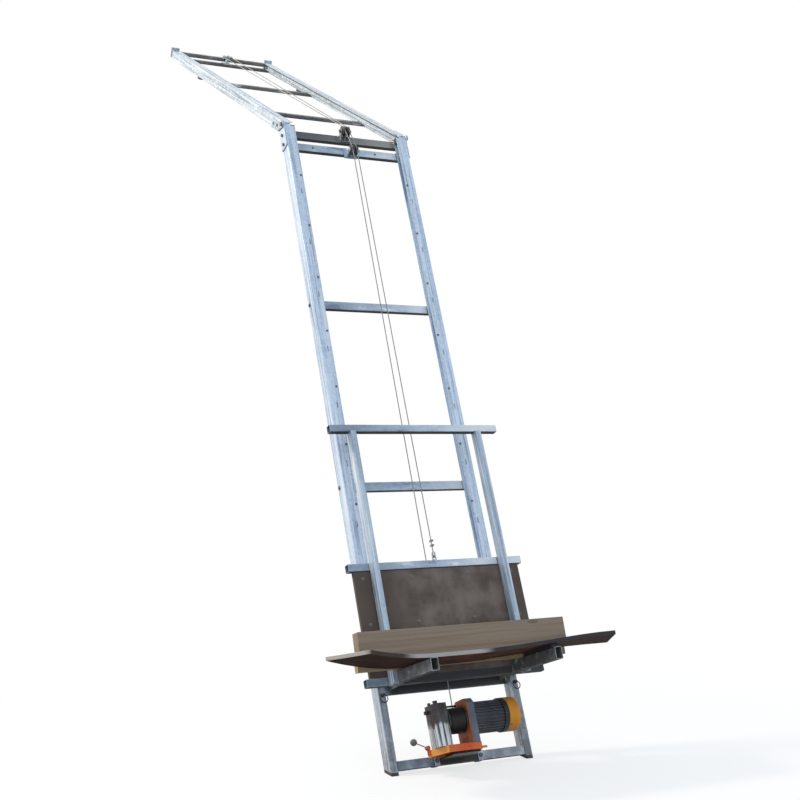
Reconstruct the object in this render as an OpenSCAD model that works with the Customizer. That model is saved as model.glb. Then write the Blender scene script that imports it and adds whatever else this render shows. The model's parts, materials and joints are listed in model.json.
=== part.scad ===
// Inclined material hoist: a leaning tube mast with guide channels, a bent head, a roller carriage
// with a load deck, and a rope winch at the foot.
// Most pieces are drawn in the mast's own frame, x along the rungs, y to the back, z up the mast,
// and the whole mast then leans back from the ground line between its feet.

/* [Mast] */
// Width over both stiles
outer_w = 800; // [700:10:1000]
// Width of a stile tube, seen from the front
stile_w = 40; // [35:1:50]
// Depth of a stile tube, front to back
stile_d = 80; // [70:1:100]
// Wall of the stile tubes
stile_wall = 3; // [2:0.5:4]
// Angle of the mast back from upright
lean = 22.9; // [10:0.1:30]
// Distance up the mast from the ground line to the knee hinge
knee_v = 3789; // [3400:1:4200]
// Distance up the mast to the joint of foot section and mast section
section_v = 449; // [430:1:480]
// Height of a rung's front face
rung_h = 50; // [40:1:55]
// Depth of a rung, front to back
rung_d = 30; // [25:1:34]
// Distance of the middle rungs up the mast
rung_places = [1503, 2598];
// Distance of the rung with the lower pulleys below the knee hinge
pulley_rung_drop = 124; // [118:1:130]
// Distance of the knee tube, which carries the upper pulleys, below the knee hinge
knee_tube_drop = 38; // [36:1:64]
// Height of the foot cross tube's front face
cross_h = 45; // [40:1:50]
// Depth of the foot cross tube
cross_d = 40; // [35:1:45]
// Distance up the mast to the foot cross tube's lower edge
cross_v = 24; // [22:1:30]
// Height of a foot's sole
sole_h = 15; // [10:1:20]

/* [Guide channels] */
// Width of a guide channel's flanges
rail_w = 25; // [22:1:30]
// Depth of a guide channel, front to back
rail_d = 40; // [38:1:42]
// Wall of a guide channel
rail_wall = 3; // [2:0.5:4]
// Distance of the guide channels' top end below the knee hinge
rail_drop = 11; // [10:1:60]

/* [Head] */
// Bend of the head back from the mast's line
bend = 42.7; // [42:0.1:43.5]
// Length of the head from the knee hinge
head_l = 2640; // [2630:1:2900]
// Depth of the head's stile tubes, front to back
head_d = 64; // [62:1:72]
// Distance of the knee hinge behind the front faces
hinge_in = 12; // [11:0.5:14]
// Distances of the head's lower rungs from the hinge
head_rungs_at = [580, 1590];
// Distance of the head's last rung from the end of the head
end_rung_in = 55; // [55:1:120]

/* [Carriage] */
// Distances up the mast to the middles of the bottom and the lower cross bar
cross_bar_places = [434, 1014];
// Section of the carriage's square bars
bar = 40; // [35:1:42]
// Half length of the cross bars
bar_half = 503; // [480:1:540]
// Distance of the cross bars' back faces in front of the mast
bar_gap = 74; // [70:1:80]
// Width of an upright
upright_w = 30; // [25:1:35]
// Depth of an upright
upright_d = 60; // [50:1:65]
// Distance of an upright's inner face from the middle
upright_in = 359; // [350:1:365]
// Distance up the mast to the top of the uprights
upright_top = 1737; // [1600:1:1800]
// Radius of a guide roller
roller_r = 16.5; // [15.5:0.1:16.7]
// Width of a guide roller
roller_w = 16; // [12:1:17]
// Distances up the mast to the lower and the upper guide rollers
roller_places = [505, 1014];
// Height of the load arms
arm_h = 60; // [50:1:65]
// Width of the load arms
arm_w = 40; // [35:1:45]
// Reach of the load arms in front of the mast
arm_reach = 535; // [480:1:600]
// Slope of the load arms, down to the front
arm_slope = 4.5; // [3:0.5:6]
// Thickness of the deck board
deck_t = 18; // [15:1:21]

/* [Rope] */
// Diameter of the hoist rope
rope_d = 6; // [5:0.5:6.5]
// Distance of the rope in front of the mast's front faces
rope_n = 35; // [33:1:37]
// Distance of the rising rope from the middle
rope_up_x = 4; // [2:1:6]
// Distance between the rising and the falling rope
rope_pitch = 27; // [26:1:30]
// Radius of the rope's middle on a knee pulley
sheave_r = 25; // [24:0.5:26]
// Radius of the rope's middle on the end pulley
end_sheave_r = 35; // [32:0.5:40]
// Distance of the lower pulleys below the knee hinge
low_sheave_drop = 149; // [144:1:159]
// Distance of the upper pulleys to the left of the lower ones
knee_shift = 20; // [0:1:20]

/* [Winch] */
// Distance up the mast to the winch's axis
winch_v = 212; // [205:1:220]
// Distance of the rope, where it leaves the drum, to the left of the middle
rope_drum_x = 46; // [46:1:52]
// Distance of the rope, where it leaves the drum, in front of the mast's front faces
rope_drum_n = 72; // [70:1:72]
// Radius of the rope's middle on the drum
drum_rope_r = 57; // [55:0.5:58]
// Turns of rope in the drum's outer layer
drum_turns = 11; // [6:1:11]
// Step of the rope's turns along the drum
drum_step = 6.8; // [6.6:0.1:7]
// Module of the gear teeth
gear_m = 1.5; // [1.4:0.02:1.54]

/* [Hidden] */
$fn = 48;

// Clearances
fit = 0.05;
seat = 0.3;
cut = 1;

// Corner radius of the tubes, and the wall of the lighter ones
corner = 4;
light_wall = 2.5;

// Mast places
half_w = outer_w / 2;
stile_x = half_w - stile_w / 2;
stile_in = half_w - stile_w;
rail_in = stile_in - rail_w;
rung_y = rail_d + 5;
section_gap = 2;
joint_rungs = [section_v - section_gap - rung_h / 2, section_v + section_gap + rung_h / 2];
pulley_rung_v = knee_v - pulley_rung_drop;
knee_tube_v = knee_v - knee_tube_drop;
rail_top = knee_v - rail_drop;
all_rungs = concat(joint_rungs, rung_places, [pulley_rung_v, knee_tube_v]);
spigot_l = 240;
spigot_play = 0.3;
spigot_w = stile_w - 2 * stile_wall - 2 * spigot_play;
spigot_d = stile_d - 2 * stile_wall - 2 * spigot_play;
lock_v = section_v - 59;
lock_r = 6;
lock_play = 0.2;
far = 6000;

// Knee places
mitre = bend / 2 + 0.65;
knee_gap = 0.2;
plate_t = 6;
pin_r = 8;
ear_r = 22;
plate_low = 150;
plate_high = 20;
head_plate_from = 45;
head_plate_to = 170;
pin_head_r = 13;
pin_head_t = 8;
bolt_r = 6;
bolt_hole = bolt_r + 0.2;
bolt_head_r = 10;
bolt_head_t = 8;
bolt_in = 8;
knee_bolt_drops = [60, 125];
head_bolt_at = [75, 140];

// Pulley places, y and z in the mast's frame
rope_r = rope_d / 2;
rope_down_x = rope_up_x + rope_pitch;
rope_mid_x = rope_up_x + rope_pitch / 2;
low_sheave_v = knee_v - low_sheave_drop;
low_sheave = [sheave_r - rope_n, low_sheave_v];
knee = [hinge_in, knee_v];
sheave_w = 16;
sheave_lip = 6;
sheave_axle = 6;
cheek_t = 5;
cheek_r = 18;
cheek_play = 3;
rise = knee - low_sheave;
run_tilt = atan2(rise[0], rise[1]);

// Head places
head_rung_d = head_d - rail_d;
head_rung_h = 40;
head_rung_y = rail_d - hinge_in;
end_rung_s = head_l - end_rung_in;
end_s = end_rung_s - head_rung_h / 2;
stop_t = 8;
pad_s = 1840;
pad_l = 50;
pad_t = 14;

// Winch places
winch_y = -rope_drum_n - drum_rope_r;
winch = [winch_y, winch_v];
gear_teeth = 56;
pinion_teeth = 14;
gear_gap = gear_m * (gear_teeth + pinion_teeth) / 2;
counter = [winch_y, winch_v - gear_gap];
gear_w = 14;
outer_gear_x = -184;
inner_gear_x = -164;
shaft_r = 7;
hub_r = 14;
counter_r = 5;
drum_left = -136;
drum_right = -36;
drum_lip_r = drum_rope_r + 9;
drum_lip_t = 6;
gearbox_left = -208;
gearbox_right = drum_left - 4;
gearbox_cover_t = 8;
gearbox_half = 62;
gearbox_wall = 6;
gearbox_round = 30;
gearbox_low = 89;
gearbox_high = 294;
shaft_end = outer_gear_x - 15;
tray_top = gearbox_low;
tray_t = 4;
tray_lip = 34;
tray_low = tray_top - tray_lip;
tray_left = gearbox_left - 6;
tray_right = 16;
tray_front = winch_y - 74;
tray_back = winch_y + 71;
tray_facet = [42, 91];
tray_fold = [134, 14];
lever_r = 4;
lever_at = [tray_left - 8, tray_top + 14];
lever_y = winch_y + 54;
lever_w = 12;
drum_plate_x = drum_right + 2;
drum_plate_t = 6;
flange_x = drum_plate_x + drum_plate_t;
flange_t = 38;
flange_half = 66;
flange_high = 304;
hub_in = 12;
motor_x = flange_x + flange_t;
motor_l = 160;
motor_r = 66;
fin_r = 78;
fin_t = 3;
fins = 30;
motor_bore = 54;
stator_bore = 31;
stator_from = motor_x + 34;
stator_to = motor_x + 140;
rotor_r = 10;
shield_x = motor_x + motor_l;
shield_t = 22;
shield_r = 84;
cover_x = shield_x + shield_t;
cover_l = 66;
cover_r = 84;
cover_wall = 3;
bracket_t = 8;
bracket_left = -150;
bracket_right = 110;
clamp_w = 28;
clamp_t = 3;
rod_r = 5;
rod_out = 54;
rods = [[40, 74], [rod_out, -rod_out]];

// Carriage places
bar_front = bar_gap + bar;
roller_y = rail_d / 2;
roller_axle = 8;
roller_out = stile_in - rail_wall - 2;
bracket_plate = 8;
bracket_clear = 11;
bracket_in = rail_in - bracket_clear - bracket_plate;
arm_x = upright_in - arm_w / 2;
arm_tip_v = 415;
top_bar_set = 3;
deck_front_v = arm_tip_v + arm_h / 2 / cos(arm_slope) + seat;
batten_back = (arm_reach - bar_front - upright_d - 5) / cos(arm_slope);
batten = [585, 38, 34];
deck_depth = batten_back - batten[1] - 4;
deck_left = -760;
deck_right = 860;
deck_left_front = -655;
deck_left_rear = -745;
deck_right_front = 690;
deck_right_rear = 850;
deck_bow_from = -330;
deck_bow_r = 1300;
deck_lift = 36;
deck_lift_x = [-100, 700];
packing_in = 20;
packing_l = 270;
bow_steps = 8;
board_half = 480;
timber_left = -600;
timber_right = 555;
timber_h = 160;
timber_t = 60;
lug_t = 8;
shackle_v = 1046;
shackle_y = -rope_n;
shackle_half = 9;
shackle_r = 4;
shackle_bow = 34;
eye_r = 14;
eye_wire = 4.5;
shackle_top = shackle_v + shackle_bow;
eye_v = shackle_top - shackle_r - seat - eye_wire + eye_r;
fall_from = eye_v + eye_r + eye_wire + seat;
rope_sides = 8;
wind_sides = 6;
loop_rings = 24;
wind_rings = drum_turns * loop_rings;

// Colours
copper = "#9a5b2c";
zinc = "#b4c0cb";
dark = "#26282a";
steel = "#8d9399";
silver = "#d0d3d6";
orange = "#d2502a";
amber = "#d68a1c";
grey = "#7b8794";
plywood = "#6b4a38";
timber = "#c9ad7c";

// Frames and shared shapes

module on_mast() {
    rotate([-lean, 0, 0]) children();
}

module on_head() {
    on_mast() translate([0, hinge_in, knee_v]) rotate([-bend, 0, 0]) children();
}

module each_side() {
    children();
    mirror([1, 0, 0]) children();
}

// A y and z outline made thick along x, from one x to another
module along_x(from, to) {
    translate([from, 0, 0]) rotate([90, 0, 90]) linear_extrude(to - from) children();
}

// A round bar along x about a y and z place
module bar_x(from, to, r, at) {
    along_x(from, to) translate(at) circle(r);
}

module rounded(w, d, r) {
    square([w - 2 * r, d], center = true);
    square([w, d - 2 * r], center = true);
    for (x = [-1, 1], y = [-1, 1])
        translate([x * (w / 2 - r), y * (d / 2 - r)]) circle(r);
}

module tube_outline(w, d, wall) {
    difference() {
        rounded(w, d, corner);
        rounded(w - 2 * wall, d - 2 * wall, corner - wall + 0.5);
    }
}

// A cross tube between the stiles, with its front face at y and its middle at z
module cross_tube(half, y, z, h, d, wall) {
    along_x(-half, half) translate([y + d / 2, z]) tube_outline(d, h, wall);
}

module channel_outline() {
    difference() {
        translate([rail_in, 0]) square([rail_w, rail_d]);
        translate([rail_in - cut, rail_wall]) square([rail_w - rail_wall + cut, rail_d - 2 * rail_wall]);
    }
}

module stile(from, to, depth) {
    translate([stile_x, depth / 2, from]) linear_extrude(to - from)
        tube_outline(stile_w, depth, stile_wall);
}

function unit(v) = v / norm(v);

function heading(p, i) = unit(p[min(i + 1, len(p) - 1)] - p[max(i - 1, 0)]);

function ring(p, i, r, sides, ref) =
    let (t = heading(p, i), a = unit(cross(ref, t)), b = cross(t, a))
    [for (k = [0:sides - 1]) p[i] + r * (cos(360 * k / sides) * a + sin(360 * k / sides) * b)];

// One closed tube along a list of points
module tube_along(p, r, sides, ref) {
    last = (len(p) - 1) * sides;
    walls = [for (i = [0:len(p) - 2], k = [0:sides - 1])
        let (a = i * sides + k, b = i * sides + (k + 1) % sides)
        each [[a, a + sides, b + sides], [a, b + sides, b]]];
    near_end = [for (k = [1:sides - 2]) [0, k, k + 1]];
    far_end = [for (k = [1:sides - 2]) [last, last + k + 1, last + k]];
    polyhedron([for (i = [0:len(p) - 1]) each ring(p, i, r, sides, ref)], concat(walls, near_end, far_end));
}

// Foot section and mast

module base_stiles() {
    color(zinc) each_side() difference() {
        on_mast() stile(-cut, section_v, stile_d);
        translate([0, -far / 2, -far]) cube([far, far, far + sole_h]);
        on_mast() translate([stile_x, -cut, lock_v]) rotate([-90, 0, 0])
            cylinder(r = lock_r + lock_play, h = stile_d + 2 * cut);
    }
}

module feet() {
    plug_h = 45;
    color(dark) each_side() {
        intersection() {
            on_mast() translate([stile_x, stile_d / 2, -stile_d]) linear_extrude(3 * stile_d)
                rounded(stile_w, stile_d, corner);
            translate([0, -far / 2, 0]) cube([far, far, sole_h]);
        }
        intersection() {
            on_mast() translate([stile_x, stile_d / 2, -stile_d]) linear_extrude(3 * stile_d)
                rounded(spigot_w, spigot_d, corner / 2);
            translate([0, -far / 2, sole_h / 2]) cube([far, far, plug_h]);
        }
    }
}

module section_spigots() {
    color(zinc) on_mast() each_side() difference() {
        translate([stile_x, stile_d / 2, section_v - spigot_l / 2]) linear_extrude(spigot_l)
            tube_outline(spigot_w, spigot_d, stile_wall);
        translate([stile_x, -cut, lock_v]) rotate([-90, 0, 0])
            cylinder(r = lock_r + lock_play, h = stile_d + 2 * cut);
    }
}

module lock_pins() {
    ring_r = 19;
    ring_wire = 2.5;
    nose = 24;
    collar_t = 5;
    collar_over = 4;
    color(steel) on_mast() each_side() translate([stile_x, 0, lock_v]) {
        rotate([90, 0, 0]) translate([0, 0, -stile_d - nose / 2])
            cylinder(r = lock_r, h = stile_d + 1.5 * nose);
        rotate([90, 0, 0]) translate([0, 0, seat]) cylinder(r = lock_r + collar_over, h = collar_t);
        translate([0, -nose + lock_r, -ring_r]) rotate([90, 0, 0])
            rotate_extrude() translate([ring_r, 0]) circle(ring_wire);
    }
}

module mast_stiles() {
    color(zinc) on_mast() each_side() difference() {
        stile(section_v, knee_v - knee_gap, stile_d);
        translate([0, hinge_in, knee_v]) rotate([-mitre, 0, 0]) translate([0, 0, -knee_gap]) cube(far);
        for (drop = knee_bolt_drops)
            bar_x(half_w - stile_wall - cut, half_w + cut, bolt_hole, [stile_d / 2, knee_v - drop]);
    }
}

module mast_rails() {
    color(zinc) on_mast() each_side()
        translate([0, 0, section_v]) linear_extrude(rail_top - section_v) channel_outline();
}

module rail_ends() {
    plug_h = 30;
    cap_t = 6;
    stop_h = roller_places[0] - roller_r - seat - section_v;
    plug = [rail_w - rail_wall - 2 * seat, rail_d - 2 * rail_wall - 2 * seat];
    color(dark) on_mast() each_side() {
        translate([rail_in + seat, rail_wall + seat, section_v]) cube([plug[0], plug[1], stop_h]);
        translate([rail_in + seat, rail_wall + seat, rail_top - plug_h])
            cube([plug[0], plug[1], plug_h + cut]);
        translate([rail_in, 0, rail_top]) cube([rail_w, rail_d, cap_t]);
    }
}

module ladder_rungs() {
    color(zinc) on_mast() {
        cross_tube(stile_in, 0, cross_v + cross_h / 2, cross_h, cross_d, light_wall);
        for (v = all_rungs)
            cross_tube(stile_in, rung_y, v, rung_h, rung_d, light_wall);
    }
}

// Knee

module mast_plate_outline() {
    difference() {
        union() {
            translate([0, knee_v - plate_low]) square([stile_d, plate_low - plate_high]);
            translate(knee) circle(ear_r);
            polygon([[0, knee_v - plate_high], knee + [-ear_r, 0], knee + [ear_r * 0.8, ear_r * 0.6],
                     [stile_d, knee_v - plate_high]]);
        }
        translate(knee) circle(pin_r + fit);
        for (drop = knee_bolt_drops)
            translate([stile_d / 2, knee_v - drop]) circle(bolt_hole);
    }
}

module knee_plates() {
    color(steel) on_mast() each_side() along_x(half_w + fit, half_w + plate_t) mast_plate_outline();
}

module knee_pins() {
    head_x = half_w + 2 * plate_t + 2 * knee_gap;
    color(steel) on_mast() each_side() {
        bar_x(half_w + knee_gap, head_x + cut, pin_r, knee);
        bar_x(head_x, head_x + pin_head_t, pin_head_r, knee);
    }
}

module plate_bolts() {
    color(steel) on_mast() each_side() for (drop = knee_bolt_drops) {
        bar_x(half_w - stile_wall - bolt_in, half_w + plate_t + cut, bolt_r, [stile_d / 2, knee_v - drop]);
        along_x(half_w + plate_t, half_w + plate_t + bolt_head_t) translate([stile_d / 2, knee_v - drop])
            circle(bolt_head_r, $fn = 6);
    }
}

module knee_bolts() {
    knee_pins();
    plate_bolts();
}

// Pulleys at the knee

module sheave(r, bore) {
    groove = r - rope_r - seat;
    half = sheave_w / 2;
    rim = 1.6;
    flat = 2;
    rotate_extrude() polygon([[bore, -half], [r + sheave_lip, -half], [r + sheave_lip, -half + rim],
        [groove, -flat], [groove, flat], [r + sheave_lip, half - rim], [r + sheave_lip, half], [bore, half]]);
}

module knee_sheave(x, at) {
    color(steel) on_mast() translate([x, at[0], at[1]]) rotate([0, 90, 0])
        sheave(sheave_r, sheave_axle + fit);
}

module knee_sheave_rising() { knee_sheave(rope_up_x, low_sheave); }
module knee_sheave_falling() { knee_sheave(rope_down_x, low_sheave); }
module upper_sheave_rising() { knee_sheave(rope_up_x - knee_shift, knee); }
module upper_sheave_falling() { knee_sheave(rope_down_x - knee_shift, knee); }

// A base plate on a rung, three cheeks and the pulleys' bolt
module pulley_block(at, base_low, base_high, shift) {
    base_t = 6;
    base_over = 10;
    out = sheave_w / 2 + cheek_play;
    back = rung_y - base_t;
    bolt_over = 9;
    left = rope_up_x - out - cheek_t - shift;
    right = rope_down_x + out + cheek_t - shift;
    along_x(left - base_over, right + base_over) translate([back, base_low])
        square([base_t, base_high - base_low]);
    for (x = [left, (left + right - cheek_t) / 2, right - cheek_t]) along_x(x, x + cheek_t) difference() {
        union() {
            translate(at) circle(cheek_r);
            polygon([[back, base_low], [back, base_high], at + [cheek_r * 0.5, cheek_r * 0.86],
                     at + [-cheek_r * 0.5, -cheek_r * 0.86]]);
        }
        translate(at) circle(sheave_axle + fit);
    }
    bar_x(left - bolt_over, right + bolt_over, sheave_axle, at);
    for (x = [left - bolt_over, right + knee_gap]) along_x(x, x + bolt_over - knee_gap)
        translate(at) circle(bolt_head_r, $fn = 6);
}

module knee_block() {
    color(zinc) on_mast()
        pulley_block(low_sheave, pulley_rung_v - rung_h, pulley_rung_v + rung_h / 2 - corner, 0);
}

module upper_block() {
    color(zinc) on_mast()
        pulley_block(knee, knee_tube_v - rung_h / 2 + corner, knee_tube_v + rung_h / 2 - corner, knee_shift);
}

// Head

module head_stiles() {
    color(zinc) on_head() each_side() difference() {
        translate([0, -hinge_in, 0]) stile(knee_gap, head_l, head_d);
        rotate([mitre, 0, 0]) translate([0, 0, knee_gap - far]) cube(far);
        for (s = head_bolt_at)
            bar_x(half_w - stile_wall - cut, half_w + cut, bolt_hole, [head_d / 2 - hinge_in, s]);
    }
}

module head_rails() {
    start = 30;
    color(zinc) on_head() each_side()
        translate([0, -hinge_in, start]) linear_extrude(head_l - start) channel_outline();
}

// Rungs behind the guide channels, and an end bar between the channels' tips
module head_rungs() {
    end_d = 28;
    color(zinc) on_head() {
        for (s = concat(head_rungs_at, end_rung_s))
            cross_tube(stile_in, head_rung_y, s, head_rung_h, head_rung_d, light_wall);
        cross_tube(rail_in, -hinge_in, head_l - head_rung_h / 2, head_rung_h, end_d, light_wall);
    }
}

// Plates on the tips keep the carriage on the channels
module head_stops() {
    front = -34;
    stop_d = 74;
    inner = rail_in + 10;
    color(zinc) on_head() each_side()
        translate([inner, front, head_l]) cube([half_w + stop_t - inner, stop_d, stop_t]);
}

// Rubber pads under the stiles, which lie on the roof
module head_pads() {
    color(dark) on_head() each_side()
        translate([stile_in + 2, head_d - hinge_in, pad_s]) cube([stile_w - 4, pad_t, pad_l]);
}

module head_knee_plates() {
    inner = half_w + plate_t + knee_gap;
    middle = head_d / 2 - hinge_in;
    color(steel) on_head() each_side() {
        difference() {
            union() {
                along_x(inner, inner + plate_t) {
                    translate([-hinge_in, head_plate_from])
                        square([head_d, head_plate_to - head_plate_from]);
                    circle(ear_r);
                    polygon([[-hinge_in, head_plate_from], [-ear_r, 0], [ear_r, 0],
                             [head_d - hinge_in, head_plate_from]]);
                }
                along_x(half_w, inner + cut) translate([-hinge_in, head_plate_from])
                    square([head_d, head_plate_to - head_plate_from]);
            }
            bar_x(half_w - cut, inner + plate_t + cut, pin_r + fit, [0, 0]);
            for (s = head_bolt_at)
                bar_x(half_w - cut, inner + plate_t + cut, bolt_hole, [middle, s]);
        }
        for (s = head_bolt_at) {
            bar_x(half_w - stile_wall - bolt_in, inner + plate_t + cut, bolt_r, [middle, s]);
            along_x(inner + plate_t, inner + plate_t + bolt_head_t) translate([middle, s])
                circle(bolt_head_r, $fn = 6);
        }
    }
}

module head_plates() {
    head_knee_plates();
    head_stops();
}

// A plate on the last rung, a boss and the end pulley's bolt
module end_block() {
    plate = 6;
    half = 30;
    boss_top = -sheave_r + sheave_w / 2 + knee_gap;
    bolt_top = -sheave_r - sheave_w / 2 - bolt_head_t;
    face = head_rung_y - plate;
    color(zinc) on_head() translate([rope_mid_x, 0, end_s]) {
        difference() {
            union() {
                translate([-half, face, -half]) cube([2 * half, plate, half + head_rung_h]);
                translate([0, face + cut, 0]) rotate([90, 0, 0])
                    cylinder(r = 2 * sheave_axle, h = face + cut - boss_top);
            }
            translate([0, head_rung_y + cut, 0]) rotate([90, 0, 0])
                cylinder(r = sheave_axle + fit, h = head_rung_y - boss_top + 2 * cut);
        }
        translate([0, head_rung_y, 0]) rotate([90, 0, 0])
            cylinder(r = sheave_axle, h = head_rung_y - bolt_top - cut);
        translate([0, bolt_top + bolt_head_t - knee_gap, 0]) rotate([90, 0, 0])
            cylinder(r = bolt_head_r, h = bolt_head_t - knee_gap, $fn = 6);
    }
}

module end_sheave() {
    color(steel) on_head() translate([rope_mid_x, -sheave_r, end_s]) rotate([90, 0, 0])
        sheave(end_sheave_r, sheave_axle + fit);
}

// Hoist rope: up from the drum, over the knee, round the end pulley and back down to the carriage

module rope_winch_line() {
    ends = [[-rope_drum_x, -rope_drum_n, winch_v + rope_d + seat],
            [rope_up_x, -rope_n, low_sheave_v - seat]];
    color(silver) on_mast() tube_along(ends, rope_r, rope_sides, [1, 0, 0]);
}

module rope_fall() {
    ends = [[rope_down_x, -rope_n, fall_from], [rope_down_x, -rope_n, low_sheave_v - seat]];
    color(silver) on_mast() tube_along(ends, rope_r, rope_sides, [1, 0, 0]);
}

function on_sheave(at, t) = [at[0] - sheave_r * cos(t), at[1] + sheave_r * sin(t)];

module rope_knee_run() {
    steps = 6;
    low = [for (i = [0:2]) concat(0, on_sheave(low_sheave, run_tilt * i / 2))];
    high = [for (i = [0:steps])
        concat(-knee_shift, on_sheave(knee, run_tilt + (bend - run_tilt) * i / steps))];
    color(silver) on_mast() for (x = [rope_up_x, rope_down_x])
        tube_along([for (p = concat(low, high)) p + [x, 0, 0]], rope_r, rope_sides, [1, 0, 0]);
}

module rope_head_loop() {
    steps = 12;
    bow = [for (i = [0:steps]) let (a = 180 * i / steps)
        [rope_mid_x - end_sheave_r * cos(a), -sheave_r, end_s + end_sheave_r * sin(a)]];
    path = concat([[rope_up_x - knee_shift, -sheave_r, seat]], bow,
                  [[rope_down_x - knee_shift, -sheave_r, seat]]);
    color(silver) on_head() tube_along(path, rope_r, rope_sides, [0, 1, 0]);
}

// Winch

module winch_bracket() {
    chamfer = 26;
    shelf_reach = -winch_y + 40;
    shelf_left = bracket_left + 20;
    color(dark) on_mast() {
        rotate([90, 0, 0]) linear_extrude(bracket_t)
            polygon([[bracket_left, cross_v + chamfer], [bracket_left + chamfer, cross_v],
                     [bracket_right, cross_v], [bracket_right, tray_low], [bracket_left, tray_low]]);
        translate([shelf_left, -shelf_reach, tray_low - bracket_t])
            cube([tray_right - shelf_left, shelf_reach, bracket_t]);
    }
}

// Straps round the cross tube and the bracket
module winch_clamps() {
    inside = [cross_d + bracket_t + 2 * seat, cross_h + 2 * seat];
    color(zinc) on_mast() for (x = [bracket_left - clamp_w / 2, bracket_right - clamp_w])
        along_x(x, x + clamp_w) translate([-bracket_t - seat, cross_v - seat]) difference() {
            translate([-clamp_t, -clamp_t]) square(inside + [2 * clamp_t, 2 * clamp_t]);
            square(inside);
        }
}

module tray_outline(inset) {
    left = tray_left + inset;
    front = tray_front + inset;
    side = inset * 0.6;
    polygon([[left, tray_back - inset], [left, tray_front + tray_facet[1] + side],
             [tray_left + tray_facet[0] + side, front], [tray_left + tray_fold[0], front],
             [tray_right - inset, front + tray_fold[1]], [tray_right - inset, tray_back - inset]]);
}

module winch_tray() {
    ear_t = 5;
    ear_r = 10;
    ear_low = tray_top - 24;
    blade = [30, 4, 10];
    blade_in = 4;
    ear_ys = [lever_y - lever_w / 2 - ear_t - seat, lever_y + lever_w / 2 + seat];
    color(orange) on_mast() {
        difference() {
            translate([0, 0, tray_low]) linear_extrude(tray_lip) tray_outline(0);
            translate([0, 0, tray_low - cut]) linear_extrude(tray_lip - tray_t + cut) tray_outline(tray_t);
        }
        translate([tray_right - cut, tray_front + tray_fold[1] + blade_in, tray_low + blade_in]) cube(blade);
        for (y = ear_ys) {
            translate([lever_at[0], y + ear_t, lever_at[1]]) rotate([90, 0, 0])
                cylinder(r = ear_r, h = ear_t);
            translate([lever_at[0], y, ear_low])
                cube([tray_left - lever_at[0] + cut, ear_t, lever_at[1] - ear_low]);
        }
        translate([lever_at[0], ear_ys[1] + cut, lever_at[1]]) rotate([90, 0, 0])
            cylinder(r = lever_r, h = lever_w + 2 * seat + 2 * cut);
    }
}

module limit_lever() {
    tilt = 64;
    rod_l = 71;
    rod_from = 6;
    wire = 2.5;
    ball_r = 17;
    boss_r = 8;
    color(steel) on_mast() translate([lever_at[0], lever_y, lever_at[1]]) {
        difference() {
            union() {
                rotate([90, 0, 0]) cylinder(r = boss_r, h = lever_w, center = true);
                rotate([0, -tilt, 0]) translate([0, 0, rod_from]) cylinder(r = wire, h = rod_l);
                rotate([0, -tilt, 0]) translate([0, 0, rod_from + rod_l]) sphere(ball_r);
            }
            rotate([90, 0, 0]) cylinder(r = lever_r + fit, h = lever_w + 2 * cut, center = true);
        }
    }
}

module gearbox_outline(inset) {
    left = gearbox_left + inset;
    right = gearbox_right - gearbox_cover_t;
    half = gearbox_half - inset;
    r = gearbox_round - inset;
    translate([left + r, winch_y - half]) square([right - left - r, 2 * half]);
    translate([left, winch_y - half + r]) square([r + cut, 2 * (half - r)]);
    for (y = [-1, 1])
        translate([left + r, winch_y + y * (half - r)]) circle(r);
}

module gearbox_inside() {
    open_half = gearbox_half - gearbox_wall;
    gearbox_outline(gearbox_wall);
    translate([gearbox_right - gearbox_cover_t - cut, winch_y - open_half]) square([2 * cut, 2 * open_half]);
}

module gearbox_housing() {
    boss_wall = 5;
    boss_to = outer_gear_x - 4;
    boss_from = gearbox_left + gearbox_wall - cut;
    height = gearbox_high - gearbox_low;
    oval = [-20, 4];
    oval_half = 24;
    oval_r = 16;
    oval_deep = 3;
    color(silver) on_mast() difference() {
        union() {
            difference() {
                translate([0, 0, gearbox_low]) linear_extrude(height) gearbox_outline(0);
                translate([0, 0, gearbox_low + gearbox_wall]) linear_extrude(height - 2 * gearbox_wall)
                    gearbox_inside();
            }
            bar_x(boss_from, boss_to, shaft_r + boss_wall, winch);
            bar_x(boss_from, boss_to, counter_r + boss_wall, counter);
        }
        bar_x(shaft_end - cut, boss_to + cut, shaft_r + fit, winch);
        bar_x(shaft_end - cut, boss_to + cut, counter_r + fit, counter);
        along_x(gearbox_left - cut, gearbox_left + oval_deep) translate(winch + oval) {
            square([2 * oval_r, 2 * oval_half], center = true);
            for (z = [-oval_half, oval_half])
                translate([0, z]) circle(oval_r);
        }
    }
}

module gearbox_cover() {
    color(silver) on_mast() along_x(gearbox_right - gearbox_cover_t, gearbox_right) difference() {
        translate([winch_y - gearbox_half, gearbox_low])
            square([2 * gearbox_half, gearbox_high - gearbox_low]);
        translate(winch) circle(hub_r + fit);
        translate(counter) circle(counter_r + fit);
        for (p = rods)
            translate(winch + p) circle(rod_r + fit);
    }
}

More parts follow.
